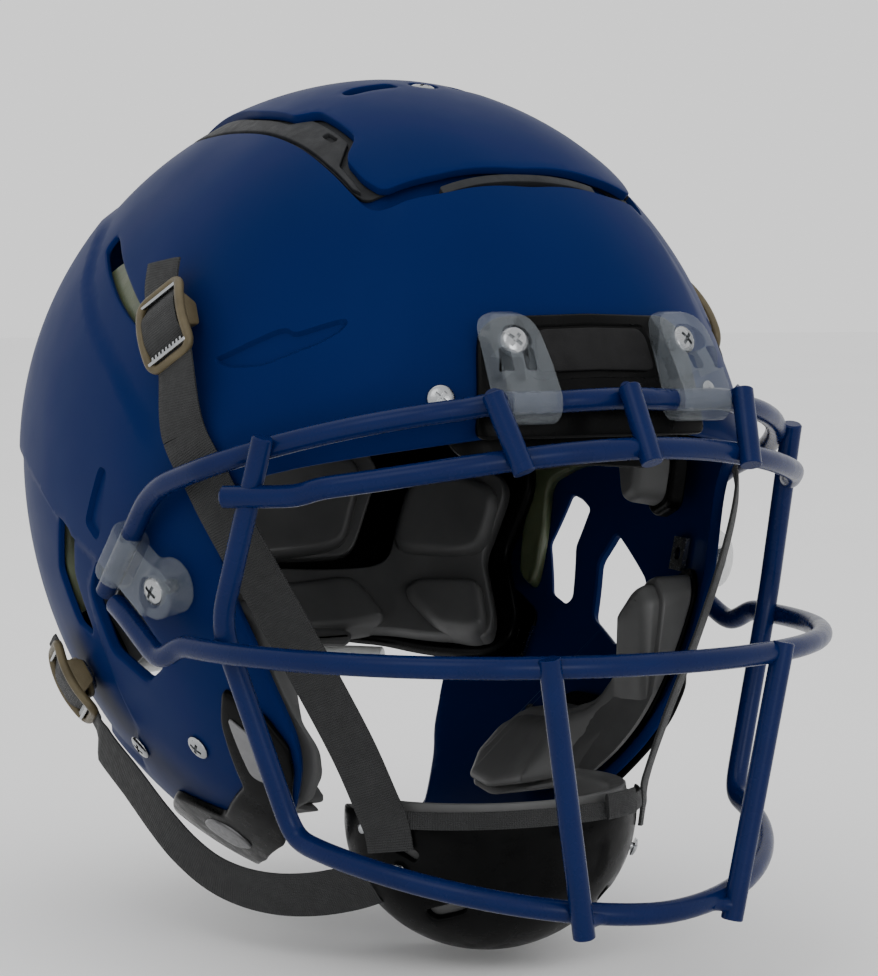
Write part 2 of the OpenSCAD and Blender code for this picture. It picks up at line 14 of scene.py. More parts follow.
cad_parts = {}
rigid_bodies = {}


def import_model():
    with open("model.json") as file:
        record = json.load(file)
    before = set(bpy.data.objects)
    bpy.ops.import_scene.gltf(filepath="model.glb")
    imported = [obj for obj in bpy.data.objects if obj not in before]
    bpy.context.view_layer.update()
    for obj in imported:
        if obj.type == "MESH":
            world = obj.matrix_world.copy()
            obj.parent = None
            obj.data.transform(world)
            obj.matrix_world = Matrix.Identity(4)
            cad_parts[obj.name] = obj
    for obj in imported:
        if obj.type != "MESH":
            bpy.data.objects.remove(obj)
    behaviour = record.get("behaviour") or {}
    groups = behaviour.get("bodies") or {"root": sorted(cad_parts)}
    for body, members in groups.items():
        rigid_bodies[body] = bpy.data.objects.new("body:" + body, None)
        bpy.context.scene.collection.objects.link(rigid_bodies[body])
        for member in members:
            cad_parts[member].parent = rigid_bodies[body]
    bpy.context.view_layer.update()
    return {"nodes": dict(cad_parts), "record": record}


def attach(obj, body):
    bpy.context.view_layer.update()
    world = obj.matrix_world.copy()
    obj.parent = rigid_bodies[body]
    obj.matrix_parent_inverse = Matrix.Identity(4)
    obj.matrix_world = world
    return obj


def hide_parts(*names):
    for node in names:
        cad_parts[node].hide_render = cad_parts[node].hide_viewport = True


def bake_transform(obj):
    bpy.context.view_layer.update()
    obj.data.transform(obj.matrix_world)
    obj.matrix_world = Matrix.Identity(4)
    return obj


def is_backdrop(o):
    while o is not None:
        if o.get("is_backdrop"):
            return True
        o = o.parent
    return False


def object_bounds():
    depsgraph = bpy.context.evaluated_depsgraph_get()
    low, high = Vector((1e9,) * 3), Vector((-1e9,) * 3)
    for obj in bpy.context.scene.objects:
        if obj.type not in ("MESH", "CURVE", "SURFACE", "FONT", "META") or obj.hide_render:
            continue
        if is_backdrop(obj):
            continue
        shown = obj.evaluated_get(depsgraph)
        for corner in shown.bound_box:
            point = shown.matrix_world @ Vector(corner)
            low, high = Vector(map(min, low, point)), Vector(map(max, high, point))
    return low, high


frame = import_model()
MM = 0.001
finish_of = {}


# ---------------------------------------------------------------- small vector helpers
def unit(v):
    v = np.asarray(v, float)
    return v / np.linalg.norm(v, axis=-1, keepdims=True)


def flip(p):
    """The mirror image across the helmet's middle plane."""
    return np.asarray(p, float) * [-1, 1, 1]


def rounded(points, radius, step, closed=True):
    """A route or outline with its corners eased by curves and its straights cut into short steps."""
    pts = np.asarray(points, float)
    n = len(pts)
    out = []
    for i in range(n if closed else n - 1):
        a, b = pts[i], pts[(i + 1) % n]
        span = np.linalg.norm(b - a)
        cut = min(radius, 0.45 * span)
        start = cut / span if closed or i > 0 else 0.0
        end = 1 - cut / span if closed or i < n - 2 else 1.0
        steps = max(1, int(math.ceil((end - start) * span / step)))
        for t in np.linspace(start, end, steps + 1):
            out.append(a + (b - a) * t)
        if closed or i < n - 2:
            c = pts[(i + 2) % n]
            cut_next = min(radius, 0.45 * np.linalg.norm(c - b))
            before = b + (a - b) / span * cut
            after = b + unit(c - b) * cut_next
            bends = max(3, int(math.ceil(2 * (cut + cut_next) / step)))
            for t in np.linspace(0, 1, bends + 1)[1:-1]:
                out.append((1 - t) ** 2 * before + 2 * t * (1 - t) * b + t * t * after)
    return np.array(out)


def smooth(points, step):
    """A curve through every point (Catmull-Rom), cut into short steps."""
    pts = np.asarray(points, float)
    n = len(pts)
    out = []
    for i in range(n - 1):
        pick = [min(max(i + k, 0), n - 1) for k in (-1, 0, 1, 2)]
        p0, p1, p2, p3 = pts[pick]
        count = max(1, int(math.ceil(np.linalg.norm(p2 - p1) / step)))
        for t in np.arange(count) / count:
            out.append(0.5 * (2 * p1 + (p2 - p0) * t + (2 * p0 - 5 * p1 + 4 * p2 - p3) * t * t
                              + (3 * p1 - p0 - 3 * p2 + p3) * t ** 3))
    out.append(pts[-1])
    return np.array(out)


def distance(points, loop):
    """How far each point is from a closed outline."""
    ab = np.roll(loop, -1, 0) - loop
    length2 = np.maximum((ab * ab).sum(1), 1e-12)
    best = np.full(len(points), 1e9)
    for i in range(0, len(points), 2000):
        p = points[i:i + 2000, None, :] - loop[None]
        t = np.clip((p * ab[None]).sum(2) / length2[None], 0, 1)
        best[i:i + 2000] = np.sqrt(((p - t[..., None] * ab[None]) ** 2).sum(2).min(1))
    return best


def inside(points, loop):
    """Which flat points lie inside a flat outline."""
    x, y = points[:, 0], points[:, 1]
    hit = np.zeros(len(points), bool)
    for (x0, y0), (x1, y1) in zip(loop, np.roll(loop, -1, 0)):
        if y0 != y1:
            hit ^= ((y0 > y) != (y1 > y)) & (x < (x1 - x0) * (y - y0) / (y1 - y0) + x0)
    return hit


def within(points, outlines):
    """Which flat points lie inside the first outline and in none of the others."""
    keep = inside(points, outlines[0])
    for hole in outlines[1:]:
        keep &= ~inside(points, hole)
    return keep


# ---------------------------------------------------------------- curved surfaces that pieces lie on
class Surface:
    """A closed surface round a centre. Pieces are laid out on it by direction from that centre."""

    def __init__(self, level, centre, pole):
        self.level = level
        self.centre = np.array(centre, float)
        z = unit(pole)
        x = unit(np.cross([0, 1, 0.2], z)) if abs(z[1]) < 0.9 else np.array([1.0, 0, 0])
        self.turn = np.array([x, np.cross(z, x), z])

    def aim(self, points):
        return unit(np.asarray(points, float) - self.centre)

    def at(self, dirs, off=0.0):
        return self.centre + dirs / self.level(dirs, off)[:, None]

    def flat(self, dirs):
        """Stereographic map, which keeps small shapes true."""
        q = dirs @ self.turn.T
        return q[:, :2] / (1 + q[:, 2:])

    def lift(self, flat):
        r2 = (flat ** 2).sum(1, keepdims=True)
        return np.hstack([2 * flat, 1 - r2]) / (1 + r2) @ self.turn

    def outward(self, dirs):
        p = self.at(dirs) - self.centre
        g = [self.level(p + e) - self.level(p - e) for e in np.eye(3) * 0.02]
        return unit(np.stack(g, 1))

    def inset(self, dirs, by):
        """Moves a closed loop of directions sideways over the surface, to the left of its travel."""
        p = self.at(dirs)
        along = np.roll(p, -1, 0) - np.roll(p, 1, 0)
        left = unit(np.cross(self.outward(dirs), along))
        return self.aim(p + left * by)

    def loop(self, points, hole=False):
        """A closed loop of directions that runs anticlockwise seen from outside, or clockwise for a hole."""
        dirs = self.aim(points)
        f = self.flat(dirs)
        turning = (f[:, 0] * np.roll(f[:, 1], -1) - np.roll(f[:, 0], -1) * f[:, 1]).sum()
        return dirs[::-1] if (turning > 0) == hole else dirs


HALF_W, FRONT, BACK, CROWN, JAW = 119.5, 147.0, 168.0, 142.4, 162.0
PLAN, SIDE = 2.33, 1.96
WALL = 4.0


def egg_level(p, off=0.0):
    x, y, z = np.abs(p[..., 0]), p[..., 1], p[..., 2]
    deep = np.where(y < 0, FRONT, BACK) + off
    high = np.where(z > 0, CROWN, JAW) + off
    plan = ((x / (HALF_W + off)) ** PLAN + (np.abs(y) / deep) ** PLAN) ** (1 / PLAN)
    return (plan ** SIDE + (np.abs(z) / high) ** SIDE) ** (1 / SIDE)


egg = Surface(egg_level, (0, 0, 0), (0, 0.35, 1))


def belt(z, off):
    high = np.where(z > 0, CROWN, JAW) + off
    return np.maximum(1 - (np.abs(z) / high) ** SIDE, 0) ** (1 / SIDE)


def side(points, off=0.0):
    """Points of the wearer's left side, from their place in side view (y, z)."""
    y, z = np.asarray(points, float).T
    deep = np.where(y < 0, FRONT, BACK) + off
    x = np.maximum(belt(z, off) ** PLAN - (np.abs(y) / deep) ** PLAN, 0) ** (1 / PLAN)
    return np.stack([(HALF_W + off) * x, y, z], 1)


def end(points, off=0.0, back=False):
    """Points of the front or the back, from their place in front view (x, z)."""
    x, z = np.asarray(points, float).T
    y = np.maximum(belt(z, off) ** PLAN - (np.abs(x) / (HALF_W + off)) ** PLAN, 0) ** (1 / PLAN)
    return np.stack([x, (BACK + off) * y if back else -(FRONT + off) * y, z], 1)


def top(points):
    """Points of the crown, from their place in plan (x, y)."""
    x, y = np.asarray(points, float).T
    deep = np.where(y < 0, FRONT, BACK)
    plan = ((np.abs(x) / HALF_W) ** PLAN + (np.abs(y) / deep) ** PLAN) ** (1 / PLAN)
    z = np.maximum(1 - plan ** SIDE, 0) ** (1 / SIDE)
    return np.stack([x, y, CROWN * z], 1)


def whole(half):
    """A closed outline from its half at x >= 0."""
    half = np.asarray(half, float)
    other = half[::-1].copy()
    other[:, 0] *= -1
    keep = other[(other[:, 0] < -1e-6)]
    return np.vstack([half, keep])


# ---------------------------------------------------------------- mesh making
def make(name, verts, faces, uv=None, sharp=40):
    """A mesh object from points in millimetres, smooth but for its sharp edges."""
    mesh = bpy.data.meshes.new(name)
    mesh.from_pydata((np.asarray(verts) * MM).tolist(), [], [tuple(int(i) for i in f) for f in faces])
    if uv is not None:
        layer = mesh.uv_layers.new(name="UVMap")
        index = np.zeros(len(mesh.loops), int)
        mesh.loops.foreach_get("vertex_index", index)
        layer.data.foreach_set("uv", np.asarray(uv, float)[index].ravel())
    mesh.validate()
    obj = bpy.data.objects.new(name, mesh)
    bpy.context.scene.collection.objects.link(obj)
    shade(obj, sharp)
    return obj


def shade(obj, sharp=40):
    obj.data.shade_smooth()
    if sharp:
        obj.data.set_sharp_from_angle(angle=math.radians(sharp))


def bake(obj):
    """Applies an object's modifiers."""
    graph = bpy.context.evaluated_depsgraph_get()
    mesh = bpy.data.meshes.new_from_object(obj.evaluated_get(graph))
    obj.modifiers.clear()
    old = obj.data
    obj.data = mesh
    bpy.data.meshes.remove(old)
    return obj


def cut(obj, cutter, how="DIFFERENCE"):
    mod = obj.modifiers.new("cut", "BOOLEAN")
    mod.object = cutter
    mod.operation = how
    mod.solver = "EXACT"
    bake(obj)
    bpy.data.objects.remove(cutter)
    return obj


def points_of(obj):
    """A mesh's points, in millimetres."""
    co = np.zeros(len(obj.data.vertices) * 3)
    obj.data.vertices.foreach_get("co", co)
    return co.reshape(-1, 3) / MM


def uv_of(obj):
    """One UV place for each vertex, or None."""
    if not obj.data.uv_layers:
        return None
    uv = np.zeros((len(obj.data.vertices), 2))
    for loop, data in zip(obj.data.loops, obj.data.uv_layers[0].data):
        uv[loop.vertex_index] = data.uv
    return uv


def quads(rings, n, first=0, closed=False):
    """Faces between rings of n points each, that follow one another."""
    faces = []
    for k in range(rings if closed else rings - 1):
        a, b = first + k * n, first + (k + 1) % rings * n
        faces += [[a + i, a + (i + 1) % n, b + (i + 1) % n, b + i] for i in range(n)]
    return faces


def caps(rings, n):
    return [list(range(n))[::-1], [(rings - 1) * n + i for i in range(n)]]


def join(name, objs):
    """One object from several."""
    verts, faces, base = [points_of(o) for o in objs], [], 0
    uvs = [uv_of(o) for o in objs]
    for o in objs:
        faces += [[base + v for v in p.vertices] for p in o.data.polygons]
        base += len(o.data.vertices)
    has_uv = all(uv is not None for uv in uvs)
    for o in objs:
        bpy.data.objects.remove(o)
    return make(name, np.vstack(verts), faces, np.vstack(uvs) if has_uv else None)


def mirror_copy(obj, name):
    """The mirror image of a piece, as its own object."""
    faces = [list(p.vertices)[::-1] for p in obj.data.polygons]
    return make(name, flip(points_of(obj)), faces, uv_of(obj))


def tidy_cdt(points, edges):
    """Constrained triangulation. Returns flat points and, for each triangle, its corners."""
    out = delaunay_2d_cdt([Vector(p) for p in points], edges, [], 0, 1e-9, True)
    flat = np.array([tuple(v) for v in out[0]])
    first = [o[0] if o else -1 for o in out[3]]
    return flat, out[2], first


def laid_on(surface, name, loops, rings, spacing=2.6, relief=None, lines=(), floor=None, sharp=40):
    """A solid that follows a surface: a rounded rim round each loop, a top face and a bottom face.

    loops are loops of directions, the outer one first and holes after it. rings are (inset, height)
    pairs up the rim's cross-section, from the bottom face to the top face. relief gives extra height to
    the top from each direction, and lines are loops that the mesh follows.
    """
    base_off, top_off = rings[0][1], rings[-1][1]
    zero = lambda d: np.zeros(len(d))
    relief = relief or zero
    floor = floor or zero
    verts, faces, top_ids, bottom_ids, top_dirs = [], [], [], [], []
    count = 0
    for loop in loops:
        n = len(loop)
        for k, (inset, height) in enumerate(rings):
            dirs = surface.inset(loop, inset) if inset else loop
            share = (height - base_off) / (top_off - base_off)
            off = height + share * relief(dirs) + (1 - share) * floor(dirs)
            verts.append(surface.at(dirs, off))
        faces += quads(len(rings), n, count)
        bottom_ids += range(count, count + n)
        count += len(rings) * n
        top_ids += range(count - n, count)
        top_dirs.append(dirs)
    rim_dirs = np.vstack(top_dirs)
    edges, start = [], 0
    for loop in list(loops) + list(lines):
        n = len(loop)
        edges += [(start + i, start + (i + 1) % n) for i in range(n)]
        start += n
    outlines = [surface.flat(d) for d in top_dirs]
    reach = surface.at(rim_dirs)
    mean_radius = np.linalg.norm(reach - surface.centre, axis=1).mean()
    step = math.degrees(spacing / mean_radius)
    grid = []
    for theta in np.arange(step / 2, 175, step * 0.87):
        ring = max(3, int(round(180 * math.sin(math.radians(theta)) / step))) * 2
        phi = (np.arange(ring) + 0.5) / ring * 2 * math.pi
        s, c = math.sin(math.radians(theta)), math.cos(math.radians(theta))
        grid.append(np.stack([s * np.sin(phi), s * np.cos(phi), np.full(ring, c)], 1))
    grid = np.vstack(grid) @ surface.turn
    grid = grid[within(surface.flat(grid), outlines)]
    spots = surface.at(grid)
    for barrier in top_dirs + list(lines):
        near = distance(spots, surface.at(barrier)) > 0.55 * spacing
        grid, spots = grid[near], spots[near]
    all_dirs = np.vstack([rim_dirs] + list(lines) + [grid])
    flat, tris, first = tidy_cdt(surface.flat(all_dirs), edges)
    centre = np.array([flat[list(t)].mean(0) for t in tris])
    keep = within(centre, outlines)
    dirs = surface.lift(flat)
    rim = len(rim_dirs)
    up, down, new = {}, {}, []
    for i, source in enumerate(first):
        if 0 <= source < rim:
            up[i], down[i] = top_ids[source], bottom_ids[source]
        else:
            up[i] = count + len(new)
            new.append(i)
    for k, i in enumerate(new):
        down[i] = count + len(new) + k
    verts.append(surface.at(dirs[new], top_off + relief(dirs[new])))
    verts.append(surface.at(dirs[new], base_off + floor(dirs[new])))
    for a, b, c in np.array(tris, dtype=object)[keep]:
        p = flat[[a, b, c]]
        turn = (p[1, 0] - p[0, 0]) * (p[2, 1] - p[0, 1]) - (p[2, 0] - p[0, 0]) * (p[1, 1] - p[0, 1])
        if turn < 0:
            b, c = c, b
        faces.append([up[a], up[b], up[c]])
        faces.append([down[a], down[c], down[b]])
    if top_off < base_off:
        faces = [face[::-1] for face in faces]
    return make(name, np.vstack(verts), faces, sharp=sharp)


def rim_rings(low, high, edge, steps=3, under=0.3):
    """The cross-section of a plate's rim: a small round under, a wall and a bigger round on top."""
    rings = [(under, low), (0, low + under)]
    for a in np.linspace(0, 90, steps + 1):
        s, c = math.sin(math.radians(a)), math.cos(math.radians(a))
        rings.append((edge * (1 - c), high - edge * (1 - s)))
    return rings


def tube(name, route, radius, sides=20, taper=0.6, closed=False):
    """A round wire along a route, with lightly chamfered ends."""
    route = np.asarray(route, float)
    n = len(route)
    ahead = np.roll(route, -1, 0) - np.roll(route, 1, 0) if closed else np.gradient(route, axis=0)
    t = unit(ahead)
    side_way = np.cross(t[0], [0.3, 0.2, 1.0])
    frames = []
    for k in range(n):
        side_way = unit(side_way - (side_way @ t[k]) * t[k])
        frames.append((side_way, np.cross(t[k], side_way)))
    angles = np.arange(sides) / sides * 2 * math.pi
    rings = []
    for k in range(n):
        u, v = frames[k]
        rings.append(route[k] + radius * (np.outer(np.cos(angles), u) + np.outer(np.sin(angles), v)))
    if not closed:
        first, last = rings[0], rings[-1]
        rings[0] = route[0] + (first - route[0]) * (1 - taper / radius)
        rings[-1] = route[-1] + (last - route[-1]) * (1 - taper / radius)
        rings.insert(1, first + t[0] * taper)
        rings.insert(-1, last - t[-1] * taper)
    ends = [] if closed else caps(len(rings), sides)
    faces = quads(len(rings), sides, closed=closed) + ends
    return make(name, np.vstack(rings), faces, sharp=35)


# ---------------------------------------------------------------- the shell's outlines
def edge_half():
    """The shell's lower edge at x >= 0, from the brow round the face, the jaw and the nape."""
    brow = end([(0, 16.2), (14, 16.2), (28, 16.1)])
    flank = side([(-141, 16), (-122, 10), (-104, 5.5), (-92, 2.2), (-83.5, -0.6), (-76.7, -7),
                  (-73.3, -15), (-72.8, -26), (-75.4, -44), (-79, -60), (-79.5, -82), (-78, -93),
                  (-72.5, -104), (-59.8, -118), (-38.7, -132.4), (-9.7, -143), (14, -149),
                  (32.5, -150.6), (44.6, -141.5), (60.7, -126), (69.1, -117.5), (77.1, -103.8),
                  (88, -73), (104, -70)])
    nape = end([(64, -74), (32, -76.4), (0, -77.3)], back=True)
    return np.vstack([brow, flank, nape])


EAR = [(4, -33.5), (13, -46), (8, -68), (-13, -77), (-27, -70.5), (-31, -62), (-21.5, -50), (-3, -38)]
VENT = [(37, -19.6), (30, -21.5), (24.3, -25), (30.2, -41), (25, -61.8), (28, -64.7), (38.4, -61),
        (46.8, -41)]
# Crescent vent high on each flank, and the shallow pocket in front of the ear, in side view
CRESCENT = [(39, 85.4), (42, 79.5), (27, 71), (9, 61.5), (-4, 55.5), (-17, 50.5), (-27, 49), (-27, 53),
            (-16, 57), (-7, 61.5), (4, 67.5), (19, 75.5), (32, 83)]
POCKET = [(-4.7, 1.6), (-10.6, -0.3), (-3, -22), (1, -26.8), (9.6, -20.4)]
# The notched recess over the brow, in side view
NOTCH = [(-63.5, 41.7), (-69, 43.8), (-85.8, 52.2), (-89, 52.8), (-92, 50.9), (-104.6, 56.4),
         (-106.3, 54.9), (-105.6, 51.6), (-101, 47.2), (-84.4, 39.2), (-72.7, 38.4), (-66, 39.6)]
# Flank panel: the foot and the head of the ramp that borders it, then round under the crown plate
PANEL_FOOT = np.array([(40, 100, 98), (52, 98, 92), (70, 85, 88), (86.3, 63.9, 86.1), (103, 43.8, 64.8),
                       (111.2, 21.3, 49.2), (115.9, -6.1, 33.1), (117.4, -24.9, 19.6),
                       (117.3, -35, 10.7), (116.6, -41.3, 8.2), (114.1, -54, 9.9), (109.9, -68.1, 13.3),
                       (92, -101.2, 24.7), (74.6, -117.9, 33.4), (67.2, -122.6, 37.5),
                       (63.6, -122.4, 44), (60.4, -116.2, 60.7), (56.4, -107.9, 76.4),
                       (53.6, -100.5, 87.5), (48, -97, 93), (40, -80, 110), (40, 0, 134), (38, 70, 120)])
PANEL_HEAD = np.array([(40, 92, 104), (52, 90, 98), (68, 79, 93), (84.5, 60.5, 90), (100.5, 41, 68.5),
                       (109, 18, 53), (113.6, -9, 38), (115.3, -28, 24.5), (115.2, -38, 19.5),
                       (113.5, -48, 22), (109.2, -62.1, 29.7), (101.8, -79.4, 34.7),
                       (89.8, -97.3, 41.3), (78.8, -107.3, 48.2), (74, -109.1, 53.9),
                       (71.2, -107.6, 60.6), (66.4, -103.8, 71.8), (61.2, -98.3, 83.1),
                       (56, -93, 91.5), (46, -80, 105), (38, -60, 118), (38, 0, 134), (36, 64, 122)])
# Lower rear flank, which lies a little below the rest, in side view
FLANK_STEP = [(3, -33.3), (20, -27.4), (36.6, -19.4), (53.6, -10.1), (84, 0.1), (112, 4.5), (128, -10),
              (128, -60), (100, -100), (40, -118), (16, -98), (16, -66), (17, -46)]
# The well that the crown plate floats in, and the plate, in plan at x >= 0
WELL = [(0, -102.3), (34, -99.5), (53.5, -94), (58.8, -89.6), (60.3, -79.6), (60.9, -62), (60.5, -36),
        (59.4, -8), (58, 29), (56, 44), (44, 82), (30, 98), (0, 100)]
PLATE = [(0, -95), (33, -92.6), (52.3, -88.6), (55.3, -80), (55.2, -68), (47, -61.3), (45.6, -33),
         (51, -25), (48, 8), (42, 40), (36, 76), (26, 90), (0, 92)]
WELL_FLOOR = -5.2
PANEL_DROP = 1.7
CROWN_HOLE = (0, -30)
CROWN_HOLE_R = 3
PLATE_HOLE_R = 5.6
# How far outside the well the shell's inner face starts to drop, and each recess in the flank: its
# outline, its depth and the width of its edge
WELL_SKIRT = -4
RECESSES = ((NOTCH, -1.6, 1.3), (POCKET, -1.8, 1.2), (FLANK_STEP, -1.5, 2.2))


def on_both_sides(loops):
    return [each for loop in loops for each in (loop, flip(loop))]


def signed(dirs, loop):
    """Distance from a loop of directions on the egg, positive inside it."""
    away = distance(egg.at(dirs), egg.at(loop))
    return np.where(inside(egg.flat(dirs), egg.flat(loop)), away, -away)


def stepped(loop, height, width):
    """A relief that reaches its height a little way inside a loop, and the lines that it bends along."""
    marks = [0.0, 0.25 * width, 0.75 * width, width]
    heights = [0.0, 0.12 * height, 0.88 * height, height]

    def relief(dirs):
        return np.interp(signed(dirs, loop), marks, heights)
    return relief, [egg.inset(loop, m) for m in (0.0, width)]


def panel_relief(foot, head):
    def relief(dirs):
        spots = egg.at(dirs)
        to_foot, to_head = distance(spots, egg.at(foot)), distance(spots, egg.at(head))
        share = to_foot / (to_foot + to_head + 1e-6)
        within_foot = inside(egg.flat(dirs), egg.flat(foot))
        within_head = inside(egg.flat(dirs), egg.flat(head))
        return -PANEL_DROP * np.where(within_head, 1.0, np.where(within_foot, share, 0.0))
    return relief


def build_shell():
    edge = egg.loop(rounded(whole(edge_half()), 6, 2.6))
    openings = on_both_sides([side(rounded(EAR, 3, 2.2)), side(rounded(VENT, 2, 2.2)),
                              side(rounded(CRESCENT, 3, 2.2))])
    hole = top(circle(CROWN_HOLE_R, 16, CROWN_HOLE))
    loops = [edge] + [egg.loop(o, hole=True) for o in openings + [hole]]
    reliefs, lines = [], []
    well = egg.loop(top(rounded(whole(WELL), 5, 2.6)))
    well_depth, well_lines = stepped(well, WELL_FLOOR, 1.0)
    for outline, height, width in RECESSES:
        for points in on_both_sides([side(rounded(outline, 3, 2.4))]):
            relief, bends = stepped(egg.loop(points), height, width)
            reliefs.append(relief)
            lines += bends
    for turn in (lambda p: p, flip):
        foot = egg.loop(rounded(turn(PANEL_FOOT), 6, 3))
        head = egg.loop(rounded(turn(PANEL_HEAD), 6, 3))
        reliefs.append(panel_relief(foot, head))
        lines += [foot, head]

    def relief(dirs):
        outside_well = sum(r(dirs) for r in reliefs)
        deep = well_depth(dirs)
        share = deep / WELL_FLOOR
        return deep + outside_well * (1 - share)

    def floor(dirs):
        return np.where(signed(dirs, well) > WELL_SKIRT, WELL_FLOOR, 0.0)
    shell = laid_on(egg, "shell_moulding", loops, rim_rings(-WALL, 0, 1.1, under=0.8), 2.4,
                    relief, lines + well_lines, floor, sharp=38)
    finish_as(shell, "shell", "shell_blue", "shell")


def plate(name, outline, low, high, edge, holes=(), body="shell", spacing=3.0, **more):
    """A plate that follows the egg, given the 3-D outline of its rim."""
    loops = [egg.loop(outline)] + [egg.loop(h, hole=True) for h in holes]
    obj = laid_on(egg, name, loops, rim_rings(low, high, edge), spacing, **more)
    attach(obj, body)
    return obj


def pad_rings(low, high, edge, steps=5):
    """The cross-section of a moulded pad whose face looks inwards, from the shell to its face."""
    way = math.copysign(1, high - low)
    rings = [(0.6, low), (0, low + 0.6 * way)]
    for a in np.linspace(0, 90, steps + 1):
        s, c = math.sin(math.radians(a)), math.cos(math.radians(a))
        rings.append((edge * (1 - c), high - way * edge * (1 - s)))
    return rings


# ---------------------------------------------------------------- small made pieces
def axes_at(p, n, along=(0, 0, 1)):
    """A corner and three axes: y runs along a direction and z along the normal."""
    n = unit(n)
    x = unit(np.cross(along, n))
    return np.asarray(p, float), x, np.cross(n, x), n


def placed(axes, local):
    """Points given in a corner's own axes, in the model's frame."""
    p, x, y, z = axes
    local = np.asarray(local, float)
    return p + local[:, :1] * x + local[:, 1:2] * y + local[:, 2:3] * z


WORLD = (np.zeros(3), *np.eye(3))


def normal(p):
    """The egg's outward normal at a point."""
    return egg.outward(egg.aim([p]))[0]


def lathe(name, profile, axes=WORLD, sides=40):
    """A turned piece from (radius, height) points that start and end on its axis."""
    profile = np.asarray(profile, float)
    inner = profile[1:-1]
    a = np.arange(sides) / sides * 2 * math.pi
    rings = [np.stack([r * np.cos(a), r * np.sin(a), np.full(sides, h)], 1) for r, h in inner]
    local = np.vstack(rings + [[[0, 0, profile[0][1]]], [[0, 0, profile[-1][1]]]])
    first, last = len(local) - 2, len(local) - 1
    faces = quads(len(inner), sides)
    top_ring = (len(inner) - 1) * sides
    for i in range(sides):
        j = (i + 1) % sides
        faces.append([first, j, i])
        faces.append([last, top_ring + i, top_ring + j])
    return make(name, placed(axes, local), faces, sharp=35)


def brick(name, low, high, axes=WORLD):
    """A rectangular block between two corners."""
    corners = [(x, y, z) for z in (low[2], high[2]) for y in (low[1], high[1]) for x in (low[0], high[0])]
    faces = [(0, 2, 3, 1), (4, 5, 7, 6), (0, 1, 5, 4), (2, 6, 7, 3), (0, 4, 6, 2), (1, 3, 7, 5)]
    return make(name, placed(axes, corners), faces)


def ccw(loop):
    """A flat outline, turned round if it runs clockwise."""
    x, y = loop.T
    return loop if (x * np.roll(y, -1) - np.roll(x, -1) * y).sum() > 0 else loop[::-1]


def inset_flat(loop, by):
    """A flat anticlockwise outline moved inwards."""
    along = unit(np.roll(loop, -1, 0) - np.roll(loop, 1, 0))
    return loop + np.stack([-along[:, 1], along[:, 0]], 1) * by


def block(name, outline, low, high, edge, place, steps=3, low_edge=None):
    """A prism with rounded edges. place turns flat points and a height into points in space."""
    outline = ccw(np.asarray(outline, float))
    low_edge = edge if low_edge is None else low_edge
    quarter = np.radians(np.linspace(0, 90, steps + 1))
    rings = [(low_edge * (1 - math.sin(a)), low + low_edge * (1 - math.cos(a))) for a in quarter]
    rings += [(edge * (1 - math.cos(a)), high - edge * (1 - math.sin(a))) for a in quarter]
    n = len(outline)
    verts = np.vstack([place(inset_flat(outline, inset), h) for inset, h in rings])
    return make(name, verts, caps(len(rings), n) + quads(len(rings), n), sharp=40)


def across_x(q, h):
    return np.stack([np.full(len(q), h), q[:, 0], q[:, 1]], 1)


def in_axes(axes):
    return lambda q, h: placed(axes, np.column_stack([q, np.full(len(q), h)]))


def circle(radius, n=40, centre=(0, 0)):
    a = np.arange(n) / n * 2 * math.pi
    return np.stack([centre[0] + radius * np.cos(a), centre[1] + radius * np.sin(a)], 1)


def rod(name, a, b, radius, sides=32):
    a, b = np.asarray(a, float), np.asarray(b, float)
    return tube(name, [a, (a + b) / 2, b], radius, sides, taper=0.3)


def screw(name, p, n, head_r, head_h, shank=6.0, turn=(0, 0, 1)):
    """A pan-head screw with a cross recess."""
    dome = [(head_r * math.cos(a), head_h * (0.25 + 0.75 * math.sin(a)))
            for a in np.radians(np.linspace(0, 78, 8))]
    axes = axes_at(p, n, turn)
    head = lathe(name, [(0, -shank), (head_r * 0.45, -shank), (head_r * 0.45, -0.2),
                        (head_r * 0.93, 0), (head_r, 0.15 * head_h)] + dome + [(0, head_h)], axes)
    recess = []
    for slant in (0.7, 0.7 + math.pi / 2):
        x = math.cos(slant) * axes[1] + math.sin(slant) * axes[2]
        y = np.cross(axes[3], x)
        here = (axes[0], x, y, axes[3])
        recess.append(brick("slot", (-0.56 * head_r, -0.13 * head_r, head_h * 0.35),
                            (0.56 * head_r, 0.13 * head_r, head_h * 2), here))
    for each in recess:
        cut(head, each)
    well = lathe("well", [(0, head_h * 0.2), (0.1, head_h * 0.2), (head_r * 0.27, head_h * 1.5),
                          (0, head_h * 1.5)], axes, 16)
    cut(head, well)
    shade(head, 32)
    return head


def finish_both(left, right, body, slot_name, node):
    """Finishes a piece and its mirror image. body and node hold {} where the side's name goes."""
    for obj, way in ((left, "left"), (right, "right")):
        finish_as(obj, body.format(way), slot_name, node.format(way))


def pair(name, objs):
    """Pieces on one side and their mirror images, as one object."""
    other = [mirror_copy(o, "other") for o in objs]
    return join(name, list(objs) + other)


def finish_as(obj, body, slot_name, *nodes):
    """Says which body a piece rides on, its finish and the CAD nodes that it stands for."""
    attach(obj, body)
    if nodes:
        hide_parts(*nodes)
    finish_of[obj.name] = slot_name
    return obj


